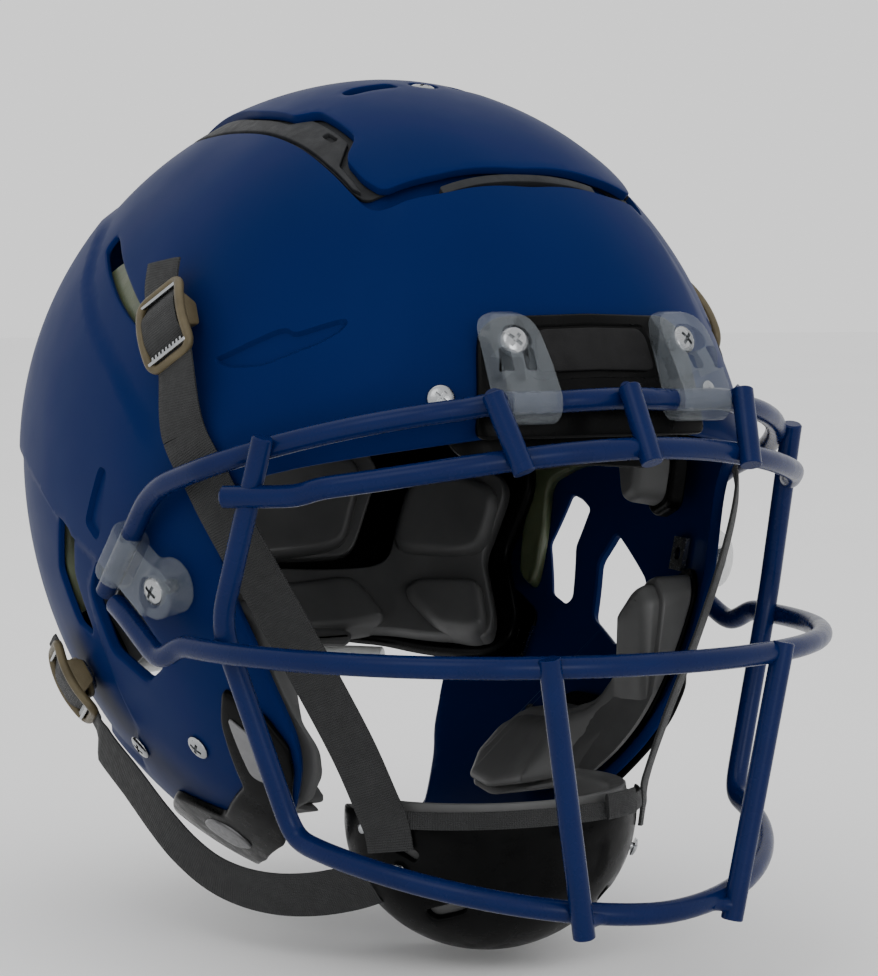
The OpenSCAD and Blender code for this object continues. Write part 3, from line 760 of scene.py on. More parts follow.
# ---------------------------------------------------------------- crown
CROWN_SCREW = top([CROWN_HOLE])[0]
PLATE_VENT = [(12, -33.5), (32, -31), (32, -24.5), (26, -22.5), (12, -25.5)]
GASKET = [(0, -92), (50, -87.5), (57.3, -85.5), (59.2, -79), (59.8, -62), (59.4, -36), (58.3, -8),
          (56.9, 28.5), (54.9, 43.5), (43.2, 81), (29.4, 96.8), (0, 98.8)]
FRONT_STRIP = [(-34, -96.4), (30, -96.6), (30, -99.5), (-34, -99.3)]
SIDE_STRIP = [(57.5, -82.5), (58.9, -79), (59.4, -62), (59, -36), (57.9, -8), (56.5, 28.5), (54.5, 43.5),
              (42.9, 80.5), (31.5, 94), (28.8, 92), (38.3, 77), (44.3, 40.5), (50.3, 8.3), (53.2, -23.5),
              (48.5, -33), (49.4, -59.5), (57.3, -67), (57.4, -79)]
STRIP_SLOT = [(50.4, -47), (53, -47), (53, -54.5), (50.4, -54.5)]


def build_crown():
    screw_hole = top(circle(PLATE_HOLE_R, 30, CROWN_HOLE))
    vents = on_both_sides([top(rounded(PLATE_VENT, 3, 1.5))])
    rim = top(rounded(whole(PLATE), 3.5, 2.2))
    cap = plate("crown_plate_moulding", rim, -3, 0.5, 0.5, vents + [screw_hole], "crown_plate",
                spacing=3.2)
    finish_as(cap, "crown_plate", "shell_blue", "crown_plate")
    outer = top(rounded(whole(GASKET), 4, 2.4))
    inner = egg.at(egg.inset(egg.loop(rim), 11))
    ring = plate("gasket_ring", outer, -5.1, -3.5, 0.5, [inner], spacing=4)
    strips = [plate("gasket_strip", top(rounded(FRONT_STRIP, 0.8, 1.0)), -5.1, -0.6, 0.3, spacing=2.2)]
    strips.append(pair("strips", [plate("strip", top(rounded(SIDE_STRIP, 0.7, 1.4)), -5.1, -1.6, 0.4,
                                        [top(rounded(STRIP_SLOT, 1.2, 0.8))], spacing=2.4)]))
    gasket = finish_as(join("crown_gasket_moulding", [ring] + strips), "shell", "black_rubber",
                       "crown_gasket")
    finish_of[gasket.name] = "gasket_grey"
    n = normal(CROWN_SCREW)
    bolt = screw("crown_bolt", CROWN_SCREW - 1.2 * n, n, 4.6, 2, 8, (0, 1, 0))
    finish_as(bolt, "crown_plate", "chrome_steel", "crown_screw")


# ---------------------------------------------------------------- brow: bumper, panel, clips
BUMPER = [(0, 56.5), (34, 55.5), (40.5, 51), (42.5, 44), (46.5, 15.2), (0, 15.5)]
BUMPER_FRAME = [(0, 53.2), (22, 52.4), (25.4, 49), (26.4, 36), (24, 34.2), (0, 35)]
PANEL = [(0, 51.5), (19.5, 51), (22, 48.5), (23.5, 38.4), (22, 37), (0, 37.6)]
CLIP_X, CLIP_W = 35.0, 20.0
CLIP_SEAT = (32.7, 44.9)
JOURNAL = np.array([-153.4, 28.2])
WIRE = 3.8
CLIP_OUTLINE = [(-146.4, 30.8), (-140.6, 44.5), (-137, 52), (-135.2, 58.2), (-140.2, 58.2),
                (-147.8, 50), (-153.8, 42), (-160.8, 30.4), (-160.6, 24.6), (-156.6, 20.8),
                (-150.4, 20.8), (-146.4, 24.6)]


def build_brow():
    frame_loop = egg.loop(end(rounded(whole(BUMPER_FRAME), 2, 2)))
    relief, lines = stepped(frame_loop, -0.7, 0.8)
    outline = end(rounded(whole(BUMPER), 4, 2.4))
    bumper = plate("front_bumper_moulding", outline, 0.3, 3.4, 1.1, relief=relief, lines=lines)
    finish_as(bumper, "shell", "black_trim", "front_bumper")
    panel = plate("blank_panel", end(rounded(whole(PANEL), 2, 1.8)), 2.4, 3.9, 0.5, spacing=2.4)
    finish_as(panel, "shell", "black_rubber", "name_panel")
    spot = end([(55.5, 29)])[0]
    n = normal(spot)
    finish_as(pair("brow_bolts", [screw("bolt", spot + 0.2 * n, n, 4.7, 2)]), "shell", "chrome_steel",
              "brow_screws")
    seat = end([CLIP_SEAT])[0]
    n = normal(seat)
    low, high = CLIP_X - CLIP_W / 2, CLIP_X + CLIP_W / 2
    body = block("clip", rounded(CLIP_OUTLINE, 2.5, 1.2), low, high, 0.9, across_x)
    arch = rounded([(low - 0.2, 15), (high + 0.2, 15), (high + 0.2, 49), (CLIP_X + 8.6, 56),
                    (CLIP_X + 3, 58.4), (CLIP_X - 3, 58.4), (CLIP_X - 8.6, 56), (low - 0.2, 49)], 5, 1.2)
    tall = block("arch", arch, 110, 190, 0.1, lambda q, h: np.stack([q[:, 0], np.full(len(q), -h),
                                                                     q[:, 1]], 1))
    cut(body, tall, "INTERSECT")
    ends = [(low - 5, *JOURNAL), (high + 5, *JOURNAL)]
    cut(body, rod("bore", *ends, WIRE + 0.1, 48))
    cut(body, rod("hole", seat - 5 * n, seat + 30 * n, 2.7))
    cut(body, rod("pocket", seat + 9.9 * n, seat + 40 * n, 5.6, 40))
    for dx in (-4.6, 4.6):
        at = seat + np.array([dx + 1.5, 0, -9.5])
        slot_axes = axes_at(at, n)
        cut(body, block("slot", rounded([(-2.2, -3.6), (2.2, -3.6), (2.2, 5.2), (-2.2, 5.2)], 1.2, 0.8),
                        3.5, 30, 0.05, in_axes(slot_axes)))
    shade(body, 32)
    other = mirror_copy(body, "front_clip_right")
    body.name = "front_clip_left"
    finish_both(body, other, "shell", "clear_clip", "upper_clip_{}")
    bolts = pair("front_clip_bolts", [screw("bolt", seat + 10.1 * n, n, 4.9, 2.4, 14)])
    finish_as(bolts, "shell", "chrome_steel", "upper_clip_screws")


# ---------------------------------------------------------------- side clips
BAR_KNEE, BAR_END = np.array([122.2, -43, -13.0]), np.array([121.8, -14.5, -43.5])


def build_side_clips():
    seat = side([(-50, -37.5)])[0]
    n = normal(seat)
    along = unit(BAR_END - BAR_KNEE)
    loop_at = BAR_KNEE + (BAR_END - BAR_KNEE) * 0.52
    head = seat + 12.2 * n
    way = unit(np.array([loop_at[1] - head[1], loop_at[2] - head[2]]))
    wide = np.array([-way[1], way[0]])
    arm = [head[1:] + 10 * wide, head[1:] - 10 * wide, loop_at[1:] - 9.2 * wide, loop_at[1:] + 9.2 * wide]
    parts = [rod("loop", loop_at - 10.6 * along, loop_at + 10.6 * along, WIRE + 3.3, 48),
             rod("boss", seat + 0.9 * n, head, 10.1, 48),
             block("arm", rounded(arm, 1, 2), 117.8, 125, 0.4, across_x)]
    body = parts[0]
    for part in parts[1:]:
        cut(body, part, "UNION")
    mod = body.modifiers.new("even", "REMESH")
    mod.mode = "VOXEL"
    mod.voxel_size = 0.55 * MM
    bake(body)
    mod = body.modifiers.new("ease", "SMOOTH")
    mod.factor = 0.5
    mod.iterations = 7
    bake(body)
    cut(body, rod("bore", BAR_KNEE - 5 * along, BAR_END + 10 * along, WIRE + 0.08, 40))
    cut(body, rod("hole", seat - 5 * n, head + 10 * n, 2.7))
    cut(body, rod("pocket", head - 2.1 * n, head + 10 * n, 5.8, 40))
    for k in (-3.6, 3.6):
        at = np.array([121.4, *(loop_at[1:] * 0.5 + head[1:] * 0.5 + k * wide)])
        slot_axes = (at, np.array([0, *wide]), np.array([0, *way]), np.array([1.0, 0, 0]))
        cut(body, block("slot", rounded([(-1.7, -4.6), (1.7, -4.6), (1.7, 4.6), (-1.7, 4.6)], 1.2, 0.7),
                        0, 10, 0.05, in_axes(slot_axes)))
    shade(body, 35)
    other = mirror_copy(body, "loop_clip_right")
    body.name = "loop_clip_left"
    finish_both(body, other, "facemask", "clear_clip", "side_clip_{}")
    bolts = pair("loop_clip_bolts", [screw("bolt", seat + 10.3 * n, n, 5, 2.4, 9)])
    finish_as(bolts, "facemask", "chrome_steel", "side_clip_screws")


# ---------------------------------------------------------------- face mask
def wrap(half_w, deep, front, power, rise, turn, steps=44):
    """A wire round the face: a plan superellipse whose height is a parabola in its depth."""
    t = np.radians(np.linspace(0, turn, steps))
    y = front + deep * (1 - np.cos(t) ** (2 / power))
    u = (y - front) / 100
    return np.stack([half_w * np.sin(t) ** (2 / power), y, rise[0] + rise[1] * u + rise[2] * u * u], 1)


def both_ways(half):
    half = np.asarray(half, float)
    return np.vstack([flip(half[:0:-1]), half])


def weld(a, b):
    """A bead that fills the corner between two wires that touch."""
    a, b = np.asarray(a, float), np.asarray(b, float)
    gap = np.linalg.norm(b - a)
    profile = [(0, -gap * 0.42)]
    for t in np.linspace(0.04, 0.96, 12):
        pinch = 0.66 + 0.3 * abs(2 * t - 1) ** 2
        profile.append((WIRE * pinch, (t - 0.5) * gap * 0.84))
    profile.append((0, gap * 0.42))
    return lathe("bead", profile, axes_at((a + b) / 2, b - a, (0.3, 0.9, 0.2)), 24)


def even(route, step=1.6):
    """Evenly spaced points along a route, with its small kinks eased."""
    along = np.concatenate([[0], np.cumsum(np.linalg.norm(np.diff(route, axis=0), axis=1))])
    s = np.linspace(0, along[-1], int(along[-1] / step) + 1)
    route = np.stack([np.interp(s, along, route[:, k]) for k in range(3)], 1)
    for _ in range(6):
        route[1:-1] = (route[:-2] + 2 * route[1:-1] + route[2:]) / 4
    return route


def nearest(route, point):
    a, b = route[:-1], route[1:]
    ab = b - a
    t = np.clip(((point - a) * ab).sum(1) / np.maximum((ab * ab).sum(1), 1e-9), 0, 1)
    spots = a + t[:, None] * ab
    return spots[np.linalg.norm(spots - point, axis=1).argmin()]


def meeting(route_a, route_b):
    """The closest pair of points of two routes."""
    fine = smooth(route_a, 1.0)
    near = np.array([nearest(route_b, p) for p in fine[::2]])
    k = np.linalg.norm(near - fine[::2], axis=1).argmin()
    return fine[::2][k], near[k]


LEG_FOOT = np.array([93.4, -100.7, -120.7])
LEG_KNEE = np.array([116.4, -90.5, -48])
LEG_TOP = np.array([111, -110, 16.4])


def build_mask():
    brow = wrap(129.2, 138.2, -157.4, 2.234, (29.2, -31.4, -1.7), 66)
    eye = wrap(135.6, 132.8, -170.6, 1.95, (13, -39.7, 23), 64)
    middle = wrap(121.5, 121, -193, 2.05, (-56.4, 0, 0), 89)
    chin = wrap(93.5, 89.9, -185, 1.77, (-141.2, 28.4, -5.2), 87)
    tail = rounded([(122.5, -56, -3.9), (122.5, -47.5, -8.8), BAR_KNEE, BAR_END], 5, 1.5, False)
    top_half = np.vstack([smooth([(0, -157, 29.2), (11, -156.6, 28.9), (18, -155, 28.5),
                                  (23, *JOURNAL)], 2),
                          [(CLIP_X, *JOURNAL)],
                          smooth(np.vstack([[(47, *JOURNAL)], brow[brow[:, 0] > 54],
                                            [(122.3, -62, -1.5)]]), 2), tail])
    eye_half = rounded(np.vstack([eye[eye[:, 0] < 100], [(103, -119.6, -3), (119.7, -97.8, -4)]]),
                       4, 2.5, False)
    mid_half = rounded(np.vstack([middle[middle[:, 0] < 121.3],
                                  [(122, -72.5, -56.2), (122.5, -64, -60.5), (122.8, -58.3, -62.3),
                                   (122.7, -52, -60), (122.4, -32, -50), (121.9, -22.5, -46.5)]]),
                       4, 2.2, False)
    low_half = rounded(np.vstack([chin[chin[:, 0] < 92], [LEG_FOOT, LEG_KNEE, LEG_TOP]]), 9, 2, False)
    front_bar = np.array([(47.9, -187, -53), (30.3, -183, -147)])
    brow_bar = np.array([(51.4, -157.6, 31.4), (46.4, -169.6, 6)])
    centre_bar = np.array([(0, -162.5, 33.4), (0, -176.3, 8.4)])
    whole_route = {"top": both_ways(top_half), "eye": both_ways(eye_half), "mid": both_ways(mid_half),
                   "low": both_ways(low_half)}
    for name, node in (("top", "top_bar"), ("eye", "eye_bar"), ("mid", "mid_bar"), ("low", "lower_bar")):
        wire = tube(f"{name}_wire", even(whole_route[name]), WIRE, 24)
        finish_as(wire, "facemask", "mask_blue", node)
    front = pair("front_wires", [rod("wire", *front_bar, WIRE)])
    finish_as(front, "facemask", "mask_blue", "front_bars")
    brows = pair("brow_wires", [rod("wire", *brow_bar, WIRE)])
    centre = rod("centre_wire", *centre_bar, WIRE)
    finish_as(join("brow_wire_set", [brows, centre]), "facemask", "mask_blue", "brow_bars")
    leg = np.array([LEG_FOOT, LEG_KNEE, LEG_TOP])
    touching = [(front_bar, mid_half), (front_bar, low_half[:30]), (brow_bar, top_half),
                (brow_bar, eye_half), (leg, top_half), (leg, eye_half), (leg, mid_half)]
    beads = [weld(*meeting(a, b)) for a, b in touching]
    centre_beads = [weld(*meeting(centre_bar, whole_route[k])) for k in ("top", "eye")]
    finish_as(join("weld_beads", [pair("beads", beads)] + centre_beads), "facemask", "mask_blue")


# ---------------------------------------------------------------- jaw guards, badges, screws
GUARD = [(-59.9, -73), (-73, -82), (-75.5, -93), (-71, -103), (-58, -118.6), (-38.7, -133.4),
         (-9.7, -144.4), (14, -150.6), (34, -152.4), (46.5, -142), (50.5, -135.5), (14.4, -121.5),
         (-17.3, -125), (-44.6, -110.3), (-52.4, -85.5)]
STRIP_BADGE = [(-58, -82), (-66, -90), (-62, -108), (-54, -104)]
OVAL_BADGE = [(8, -131), (0, -139), (-18, -137), (-16, -129), (-4, -127)]
JAW_SCREWS = [(-28.8, -99), (23.4, -105.9)]


def build_jaw_guards():
    guard = plate("jaw_trim_left", side(rounded(GUARD, 3, 2)), 0.2, 3, 1.2, spacing=2.6)
    other = mirror_copy(guard, "jaw_trim_right")
    finish_both(guard, other, "shell", "black_trim", "jaw_guard_{}")
    badges = [plate("badge", side(rounded(o, r, 1.2)), 2.4, 3.9, 0.5, spacing=2)
              for o, r in ((STRIP_BADGE, 2.5), (OVAL_BADGE, 6))]
    finish_as(pair("blank_badges", badges), "shell", "badge_grey", "jaw_badges")
    bolts = []
    for spot in side(JAW_SCREWS):
        bolts.append(screw("bolt", spot + 0.2 * normal(spot), normal(spot), 4.8, 1.6, 5))
    finish_as(pair("jaw_bolts", bolts), "shell", "chrome_steel", "jaw_screws")


# ---------------------------------------------------------------- chin strap hardware
UPPER_STUD, LOWER_STUD = side([(-44.4, 50.1)])[0], side([(45.5, -80.7)])[0]
UPPER_LIE, LOWER_LIE = (3.4, -18.6, -25), (-6, -12, -26)
WEB_LIFT = 5.3
WEB_W, WEB_T = 17.0, 1.6


def build_studs():
    studs = []
    for spot in (UPPER_STUD, LOWER_STUD):
        profile = [(0, -4.2), (2.2, -4.2), (2.2, -0.6), (5.8, -0.6), (6, -0.3), (6, 0.7), (5.7, 1),
                   (3.6, 1.1), (3.5, 2.2), (4, 2.7), (4, 3.1), (3.6, 3.4), (0, 3.4)]
        studs.append(lathe("stud", profile, axes_at(spot, normal(spot))))
    finish_as(pair("snap_studs", studs), "shell", "chrome_steel", "strap_studs")


def buckle(name, stud, lie):
    """A ladder buckle on its snap socket: a coated frame, a plain bar and a toothed bar."""
    axes = axes_at(stud, normal(stud), lie)
    ring = rounded([(-10.2, -14.6, 7.8), (10.2, -14.6, 7.8), (10.2, 14.6, 7.8), (-10.2, 14.6, 7.8)], 5, 1)
    bowed = ring + np.column_stack([np.zeros((len(ring), 2)), -0.012 * ring[:, 1] ** 2 + 0.9])
    coated = [tube("frame", placed(axes, bowed), 1.75, 16, closed=True)]
    for way in (-1, 1):
        cheek = rounded([(-4.5, 1.4), (4.5, 1.4), (5.5, 3.4), (7.4, 7.6), (-7.4, 7.6), (-5.5, 3.4)], 1.6, 0.8)
        coated.append(block("cheek", cheek, way * 10.2 - 1.1, way * 10.2 + 1.1, 0.5,
                            lambda q, h: placed(axes, np.column_stack([np.full(len(q), h), q]))))
    socket = lathe("socket", [(4.1, 1.3), (4.1, 1.3), (7.6, 1.3), (8.2, 1.8), (8.2, 3.2), (7.6, 3.8),
                              (4.6, 4), (4.1, 3.7), (4.1, 3.7)], axes, 40)
    coated.append(socket)
    bars = [rod("bar", *placed(axes, [(-9.6, 12.2, 8.2), (9.6, 12.2, 8.2)]), 0.75, 20),
            rod("bar", *placed(axes, [(-9.6, -12.3, 7.6), (9.6, -12.3, 7.6)]), 0.75, 20)]
    for x in np.linspace(-7.2, 7.2, 9):
        tooth = [(x - 0.55, 11.7), (x + 0.55, 11.7), (x + 0.35, 10.2), (x - 0.35, 10.2)]
        bars.append(block("tooth", tooth, 7.6, 8.5, 0.1, in_axes(axes), 1))
    return join(f"{name}_frame", coated), join(f"{name}_bars", bars)


def build_buckles():
    for level, stud, lie in (("upper", UPPER_STUD, UPPER_LIE), ("lower", LOWER_STUD, LOWER_LIE)):
        coated, bars = buckle(f"{level}_buckle_left", stud, lie)
        others = [mirror_copy(o, o.name.replace("left", "right")) for o in (coated, bars)]
        for way, pieces in (("left", (coated, bars)), ("right", others)):
            node = f"{level}_buckle_{way}"
            finish_as(pieces[0], node, "buckle_tan", node)
            finish_as(pieces[1], node, "chrome_steel")


# ---------------------------------------------------------------- webbing
def ribbon(name, route, facing, width=WEB_W, thick=WEB_T, lift=None, across=8):
    """A woven strap with soft edges along a route. facing is the way its face looks at each point."""
    route = np.asarray(route, float)
    t = unit(np.gradient(route, axis=0))
    n = unit(facing - (facing * t).sum(1, keepdims=True) * t)
    s = np.cross(t, n)
    if lift is not None:
        route = route + n * lift[:, None]
        t = unit(np.gradient(route, axis=0))
        n = unit(n - (n * t).sum(1, keepdims=True) * t)
    along = np.concatenate([[0], np.cumsum(np.linalg.norm(np.diff(route, axis=0), axis=1))])
    u = np.linspace(-1, 1, across + 1)
    half = thick / 2 * (1 - 0.55 * np.abs(u) ** 8)
    section = [(a, h) for a, h in zip(u, half)] + [(a, -h) for a, h in zip(u[::-1], half[::-1])]
    m = len(section)
    verts, uv = [], []
    for k in range(len(route)):
        for a, h in section:
            verts.append(route[k] + s[k] * a * width / 2 + n[k] * h)
            uv.append((a * width / 20 + 0.5, along[k] / 10))
    return make(name, verts, caps(len(route), m) + quads(len(route), m), uv, sharp=50)


def under_buckle(stud, lie, run):
    n = normal(stud)
    way = unit(np.asarray(lie, float) - (np.asarray(lie, float) @ n) * n)
    return [stud + WEB_LIFT * n + d * way for d in run]


def strap(level, stud, lie, start, rest, first_facing, rest_facing, split):
    """One side strap in two pieces: one runs through the buckle, and one runs down to the cup."""
    held = under_buckle(stud, lie, (-18, -6, 6, 18))
    knots = np.array(start + held + rest)
    n_first = len(start) + len(held)
    faces = np.array([first_facing] * n_first + [rest_facing(i) for i in range(len(rest))])
    route = smooth(knots, 1.6)
    place = np.concatenate([[0], np.cumsum(np.linalg.norm(np.diff(knots, axis=0), axis=1))])
    along = np.concatenate([[0], np.cumsum(np.linalg.norm(np.diff(route, axis=0), axis=1))])
    along *= place[-1] / along[-1]
    facing = unit(np.stack([np.interp(along, place, faces[:, k]) for k in range(3)], 1))
    middle = place[len(start) + 1] + 6
    lift = 4.4 * np.exp(-((along - middle) / 9.5) ** 4)
    until = np.searchsorted(along, place[n_first] + split)
    a = ribbon(f"{level}_web_a_left", route[:until + 1], facing[:until + 1], lift=lift[:until + 1])
    b = ribbon(f"{level}_web_b_left", route[until:], facing[until:], lift=lift[until:])
    turn = route[until] * MM
    others = [mirror_copy(o, o.name.replace("left", "right")) for o in (a, b)]
    marks = np.array([held[3] * MM, turn, route[-1] * MM])
    for way, pieces, spots in (("left", (a, b), marks), ("right", others, flip(marks))):
        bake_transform(pieces[0])
        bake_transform(pieces[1])
        for piece in pieces:
            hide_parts(f"{level}_strap_{way}")
        for piece in pieces:
            finish_of[piece.name] = "webbing_grey"


def build_straps():
    strap("upper", UPPER_STUD, UPPER_LIE, [np.array((107.6, -32, 74.5))],
          [(116.2, -62.6, 16.5), (112.6, -73.2, 0), (109, -79.6, -12), (99, -85.5, -33),
           (84, -90.5, -61), (67, -93.5, -92), (57.3, -95, -113), (54.8, -97.3, -121), (53.2, -97.8, -129.5)],
          normal(UPPER_STUD), lambda i: unit((0.9, -0.52 - 0.02 * i, 0.2)), 0.5)
    strap("lower", LOWER_STUD, LOWER_LIE, [],
          [(100.5, 31, -105), (97, 14, -117.5), (93, -1, -130), (88, -11, -139.5), (82, -21, -146.8),
           (75.5, -32, -150.8), (68.5, -44.5, -152), (61, -57.5, -150.6), (54, -70, -147.2),
           (49.5, -79, -143.5)],
          normal(LOWER_STUD), lambda i: unit((0.86, -0.3 - 0.03 * i, -0.34)), 12)


# ---------------------------------------------------------------- chin cup
CUP_AT = np.array([0, -80, -122.0])
CUP_AXES = np.array([56, 44, 50.0])


def cup_level(p, off=0.0):
    return np.linalg.norm(p / (CUP_AXES + np.asarray(off)[..., None]), axis=-1)


cup = Surface(cup_level, CUP_AT, (0, -1, -1))


def cup_outline(rim, back, off=0.0, radius=5):
    """The cup's edge: level round the front at the rim, and upright across the back."""
    axes = CUP_AXES + off
    k = math.sqrt(1 - ((rim - CUP_AT[2]) / axes[2]) ** 2)
    start = math.asin((back - CUP_AT[1]) / (axes[1] * k))
    front = [(axes[0] * k * math.cos(a), CUP_AT[1] + axes[1] * k * math.sin(a),
              rim) for a in np.linspace(start, -math.pi - start, 40)]
    k = math.sqrt(1 - ((back - CUP_AT[1]) / axes[1]) ** 2)
    begin = math.asin((rim - CUP_AT[2]) / (axes[2] * k))
    behind = [(axes[0] * k * math.cos(a), back, CUP_AT[2] + axes[2] * k * math.sin(a))
              for a in np.linspace(-math.pi - begin, begin, 30)[1:-1]]
    return rounded(np.array(front + behind), radius, 2.2)


def cup_patch(centre, half_w, half_h, radius, tilt=0.0):
    """A rounded oblong on the cup round a point."""
    n = unit((np.asarray(centre) - CUP_AT) / CUP_AXES ** 2)
    axes = axes_at(centre, n, (math.sin(tilt), 0, math.cos(tilt)))
    box = rounded([(-half_w, -half_h), (half_w, -half_h), (half_w, half_h), (-half_w, half_h)],
                  radius, 1.0)
    return placed(axes, np.column_stack([box, np.zeros(len(box))]))


def build_cup():
    slots = on_both_sides([cup_patch((51.8, -98.2, -127.6), 2.2, 8.6, 1.8, 1.35),
                           cup_patch((34.4, -103.5, -152.7), 7.5, 3.2, 3, 0.5)])
    loops = [cup.loop(cup_outline(-117.5, -63))] + [cup.loop(s, hole=True) for s in slots]
    ridge = cup.loop(cup_patch((0, -121, -136), 26, 9, 7))

    def relief(dirs):
        away = distance(cup.at(dirs), cup.at(ridge))
        within = inside(cup.flat(dirs), cup.flat(ridge))
        return np.where(within, np.clip(away / 3, 0, 1) * -0.9, 0)
    hard = laid_on(cup, "cup_shell", loops, rim_rings(-3, 0, 0.9), 2.6, relief, [ridge])
    finish_as(hard, "chin_cup", "black_trim", "chin_cup")
    soft = laid_on(cup, "cup_liner", [cup.loop(cup_outline(-112.5, -58.6, -3.2))],
                   pad_rings(-3.2, -10, 3), 3)
    finish_as(soft, "chin_cup", "pad_grey", "cup_pad")
    t = np.radians(np.linspace(-164, -16, 70))
    axes = CUP_AXES + 1.2
    z = -117.6 - 0.8 * np.cos(t) ** 2
    k = np.sqrt(1 - ((z - CUP_AT[2]) / axes[2]) ** 2)
    route = np.stack([axes[0] * k * np.cos(t), CUP_AT[1] + axes[1] * k * np.sin(t), z], 1)
    band = ribbon("cup_webbing", route, unit((route - CUP_AT) / CUP_AXES ** 2), 6.2, 1.3)
    tab_t = np.radians(np.linspace(-70, -50, 16))
    tab = np.stack([axes[0] * np.cos(tab_t), CUP_AT[1] + axes[1] * np.sin(tab_t),
                    np.full(16, -116.4)], 1)
    tab_facing = unit((tab - CUP_AT) / CUP_AXES ** 2)
    fold = ribbon("fold", tab + tab_facing * 1.5, tab_facing, 9, 1.5)
    finish_as(join("cup_webbing_band", [band, fold]), "chin_cup", "webbing_grey", "cup_band")
    rivets = []
    for spot, size in (((49.9, -97.2, -137.1), 3.4), ((55.9, -84, -123), 2.2)):
        spot = np.array(spot)
        n = unit((spot - CUP_AT) / CUP_AXES ** 2)
        profile = [(0, -4), (1.5, -4), (1.5, 0.2), (size, 0.3), (size * 0.92, 1.1), (size * 0.5, 1.7),
                   (0, 1.8)]
        rivets.append(lathe("rivet", profile, axes_at(spot, n, (1, 0.2, 0.1))))
    finish_as(pair("cup_rivet_heads", rivets), "chin_cup", "chrome_steel", "cup_rivets")


# ---------------------------------------------------------------- pads and liner
JAW_PAD = [(-56, -45), (-66, -42), (-74, -50), (-74, -96), (-68, -106), (-55, -117), (-36, -125),
           (-12, -130), (6, -128), (13, -116), (8, -103), (-2, -98), (-22, -98), (-40, -92),
           (-46, -80), (-46, -56)]
JAW_GROOVES = [[(-52, -50), (-50.5, -50), (-50.5, -86), (-54, -97), (-55.6, -96), (-52.5, -84)],
               [(-67, -56), (-65.5, -56), (-65.5, -92), (-61, -102), (-62.6, -103), (-67, -94)]]
JAW_PAD_DEPTH = 26.0
JAW_PAD_FACE = 74.0
CUP_SIDE_Y = -42.0


def jaw_depth(q, h):
    """Points of a jaw pad at a depth from its back. The part beside the chin cup keeps a flat face."""
    back = side(q, -7)
    face_x = back[:, 0] - JAW_PAD_DEPTH + 2
    beside_cup = np.clip((CUP_SIDE_Y + 8 - q[:, 0]) / 16, 0, 1)
    face_x = np.where(face_x < JAW_PAD_FACE, face_x * (1 - beside_cup) + JAW_PAD_FACE * beside_cup, face_x)
    face_x = np.minimum(face_x, back[:, 0] - 3)
    back[:, 0] += (face_x - back[:, 0]) * h / JAW_PAD_DEPTH
    return back


def filled(outline, spacing):
    """A grid of flat points inside an outline, and the triangles that cover it with the outline."""
    low, high = outline.min(0), outline.max(0)
    grid = np.stack(np.meshgrid(*[np.arange(a, b, spacing) for a, b in zip(low, high)]), -1).reshape(-1, 2)
    grid = grid[inside(grid, outline)]
    grid = grid[distance(grid, outline) > 0.6 * spacing]
    n = len(outline)
    flat, tris, first = tidy_cdt(np.vstack([outline, grid]), [(i, (i + 1) % n) for i in range(n)])
    middle = np.array([flat[list(t)].mean(0) for t in tris])
    return grid, [[first[i] for i in t] for t, keep in zip(tris, inside(middle, outline)) if keep]


def mound(name, outline, low, high, edge, place, spacing=3.0, steps=6):
    """A block whose face bends with what it is placed on."""
    obj = block(name, outline, low, high, edge, place, steps, 0.3)
    outline = ccw(outline)
    inner = inset_flat(outline, edge)
    grid, tris = filled(inner, spacing)
    face = make("face", place(np.vstack([inner, grid]), high), tris)
    walls, inner_face = points_of(obj), points_of(face)
    n = len(outline)
    start = len(walls) - n
    faces = [list(p.vertices) for p in obj.data.polygons]
    faces = [f for f in faces if len(f) != n or min(f) < start]
    faces += [[start + i for i in t] for t in tris]
    for each in (obj, face):
        bpy.data.objects.remove(each)
    return make(name, np.vstack([walls, inner_face[n:]]), faces, sharp=40)


def build_jaw_pads():
    outline = ccw(rounded(JAW_PAD, 4, 1.8))
    lobes = [block("jaw_lobe", outline, 0, 18, 1.5, jaw_depth, 4),
             mound("jaw_face", inset_flat(outline, 3.0), 15, JAW_PAD_DEPTH, 5.0, jaw_depth)]
    for groove in JAW_GROOVES:
        cut(lobes[1], block("groove", rounded(groove, 0.7, 1.2), JAW_PAD_FACE - 4, JAW_PAD_FACE + 1.4,
                            0.3, across_x))
    pad = join("jaw_cushion_left", lobes)
    other = mirror_copy(pad, "jaw_cushion_right")
    for obj, way in ((pad, "left"), (other, "right")):
        finish_as(obj, f"jaw_pad_{way}", "pad_grey", f"jaw_pad_{way}")
    back = plate("jaw_backing", side(outline), -6.6, -4.5, 0.6, spacing=4)
    finish_as(pair("jaw_backings", [back]), "shell", "black_trim", "jaw_pad_backs")


def lobed_pad(name, rim, lobes, mirrored=False, beds=(), base=-11.4, step=-17.0, face=-29.0):
    """A liner pad: a black backing, grey beds on it, and raised lobes with wide bevels."""
    backing = laid_on(egg, f"{name}_backing", [egg.loop(rim)], pad_rings(base, step, 2.6), 5)
    mounds = [laid_on(egg, "lobe", [egg.loop(lobe)], pad_rings(step + 1, face, 4.5, 6), 3.2)
              for lobe in lobes]
    mounds += [laid_on(egg, "bed", [egg.loop(bed)], pad_rings(step + 1, step - 6, 1.4), 4) for bed in beds]
    cushion = join(name, mounds)
    made = [(cushion, backing, name)]
    if mirrored:
        other = name.replace("left", "right")
        made.append((mirror_copy(cushion, other), mirror_copy(backing, f"{other}_backing"), other))
    for front, behind, title in made:
        finish_as(front, "shell", "pad_grey", title.replace("cushion", "pad"))
        finish_as(behind, "shell", "black_trim")


def rear(points):
    return end(points, back=True)


def lifted(points, turn, radius=6):
    return turn(rounded(points, radius, 2.4))


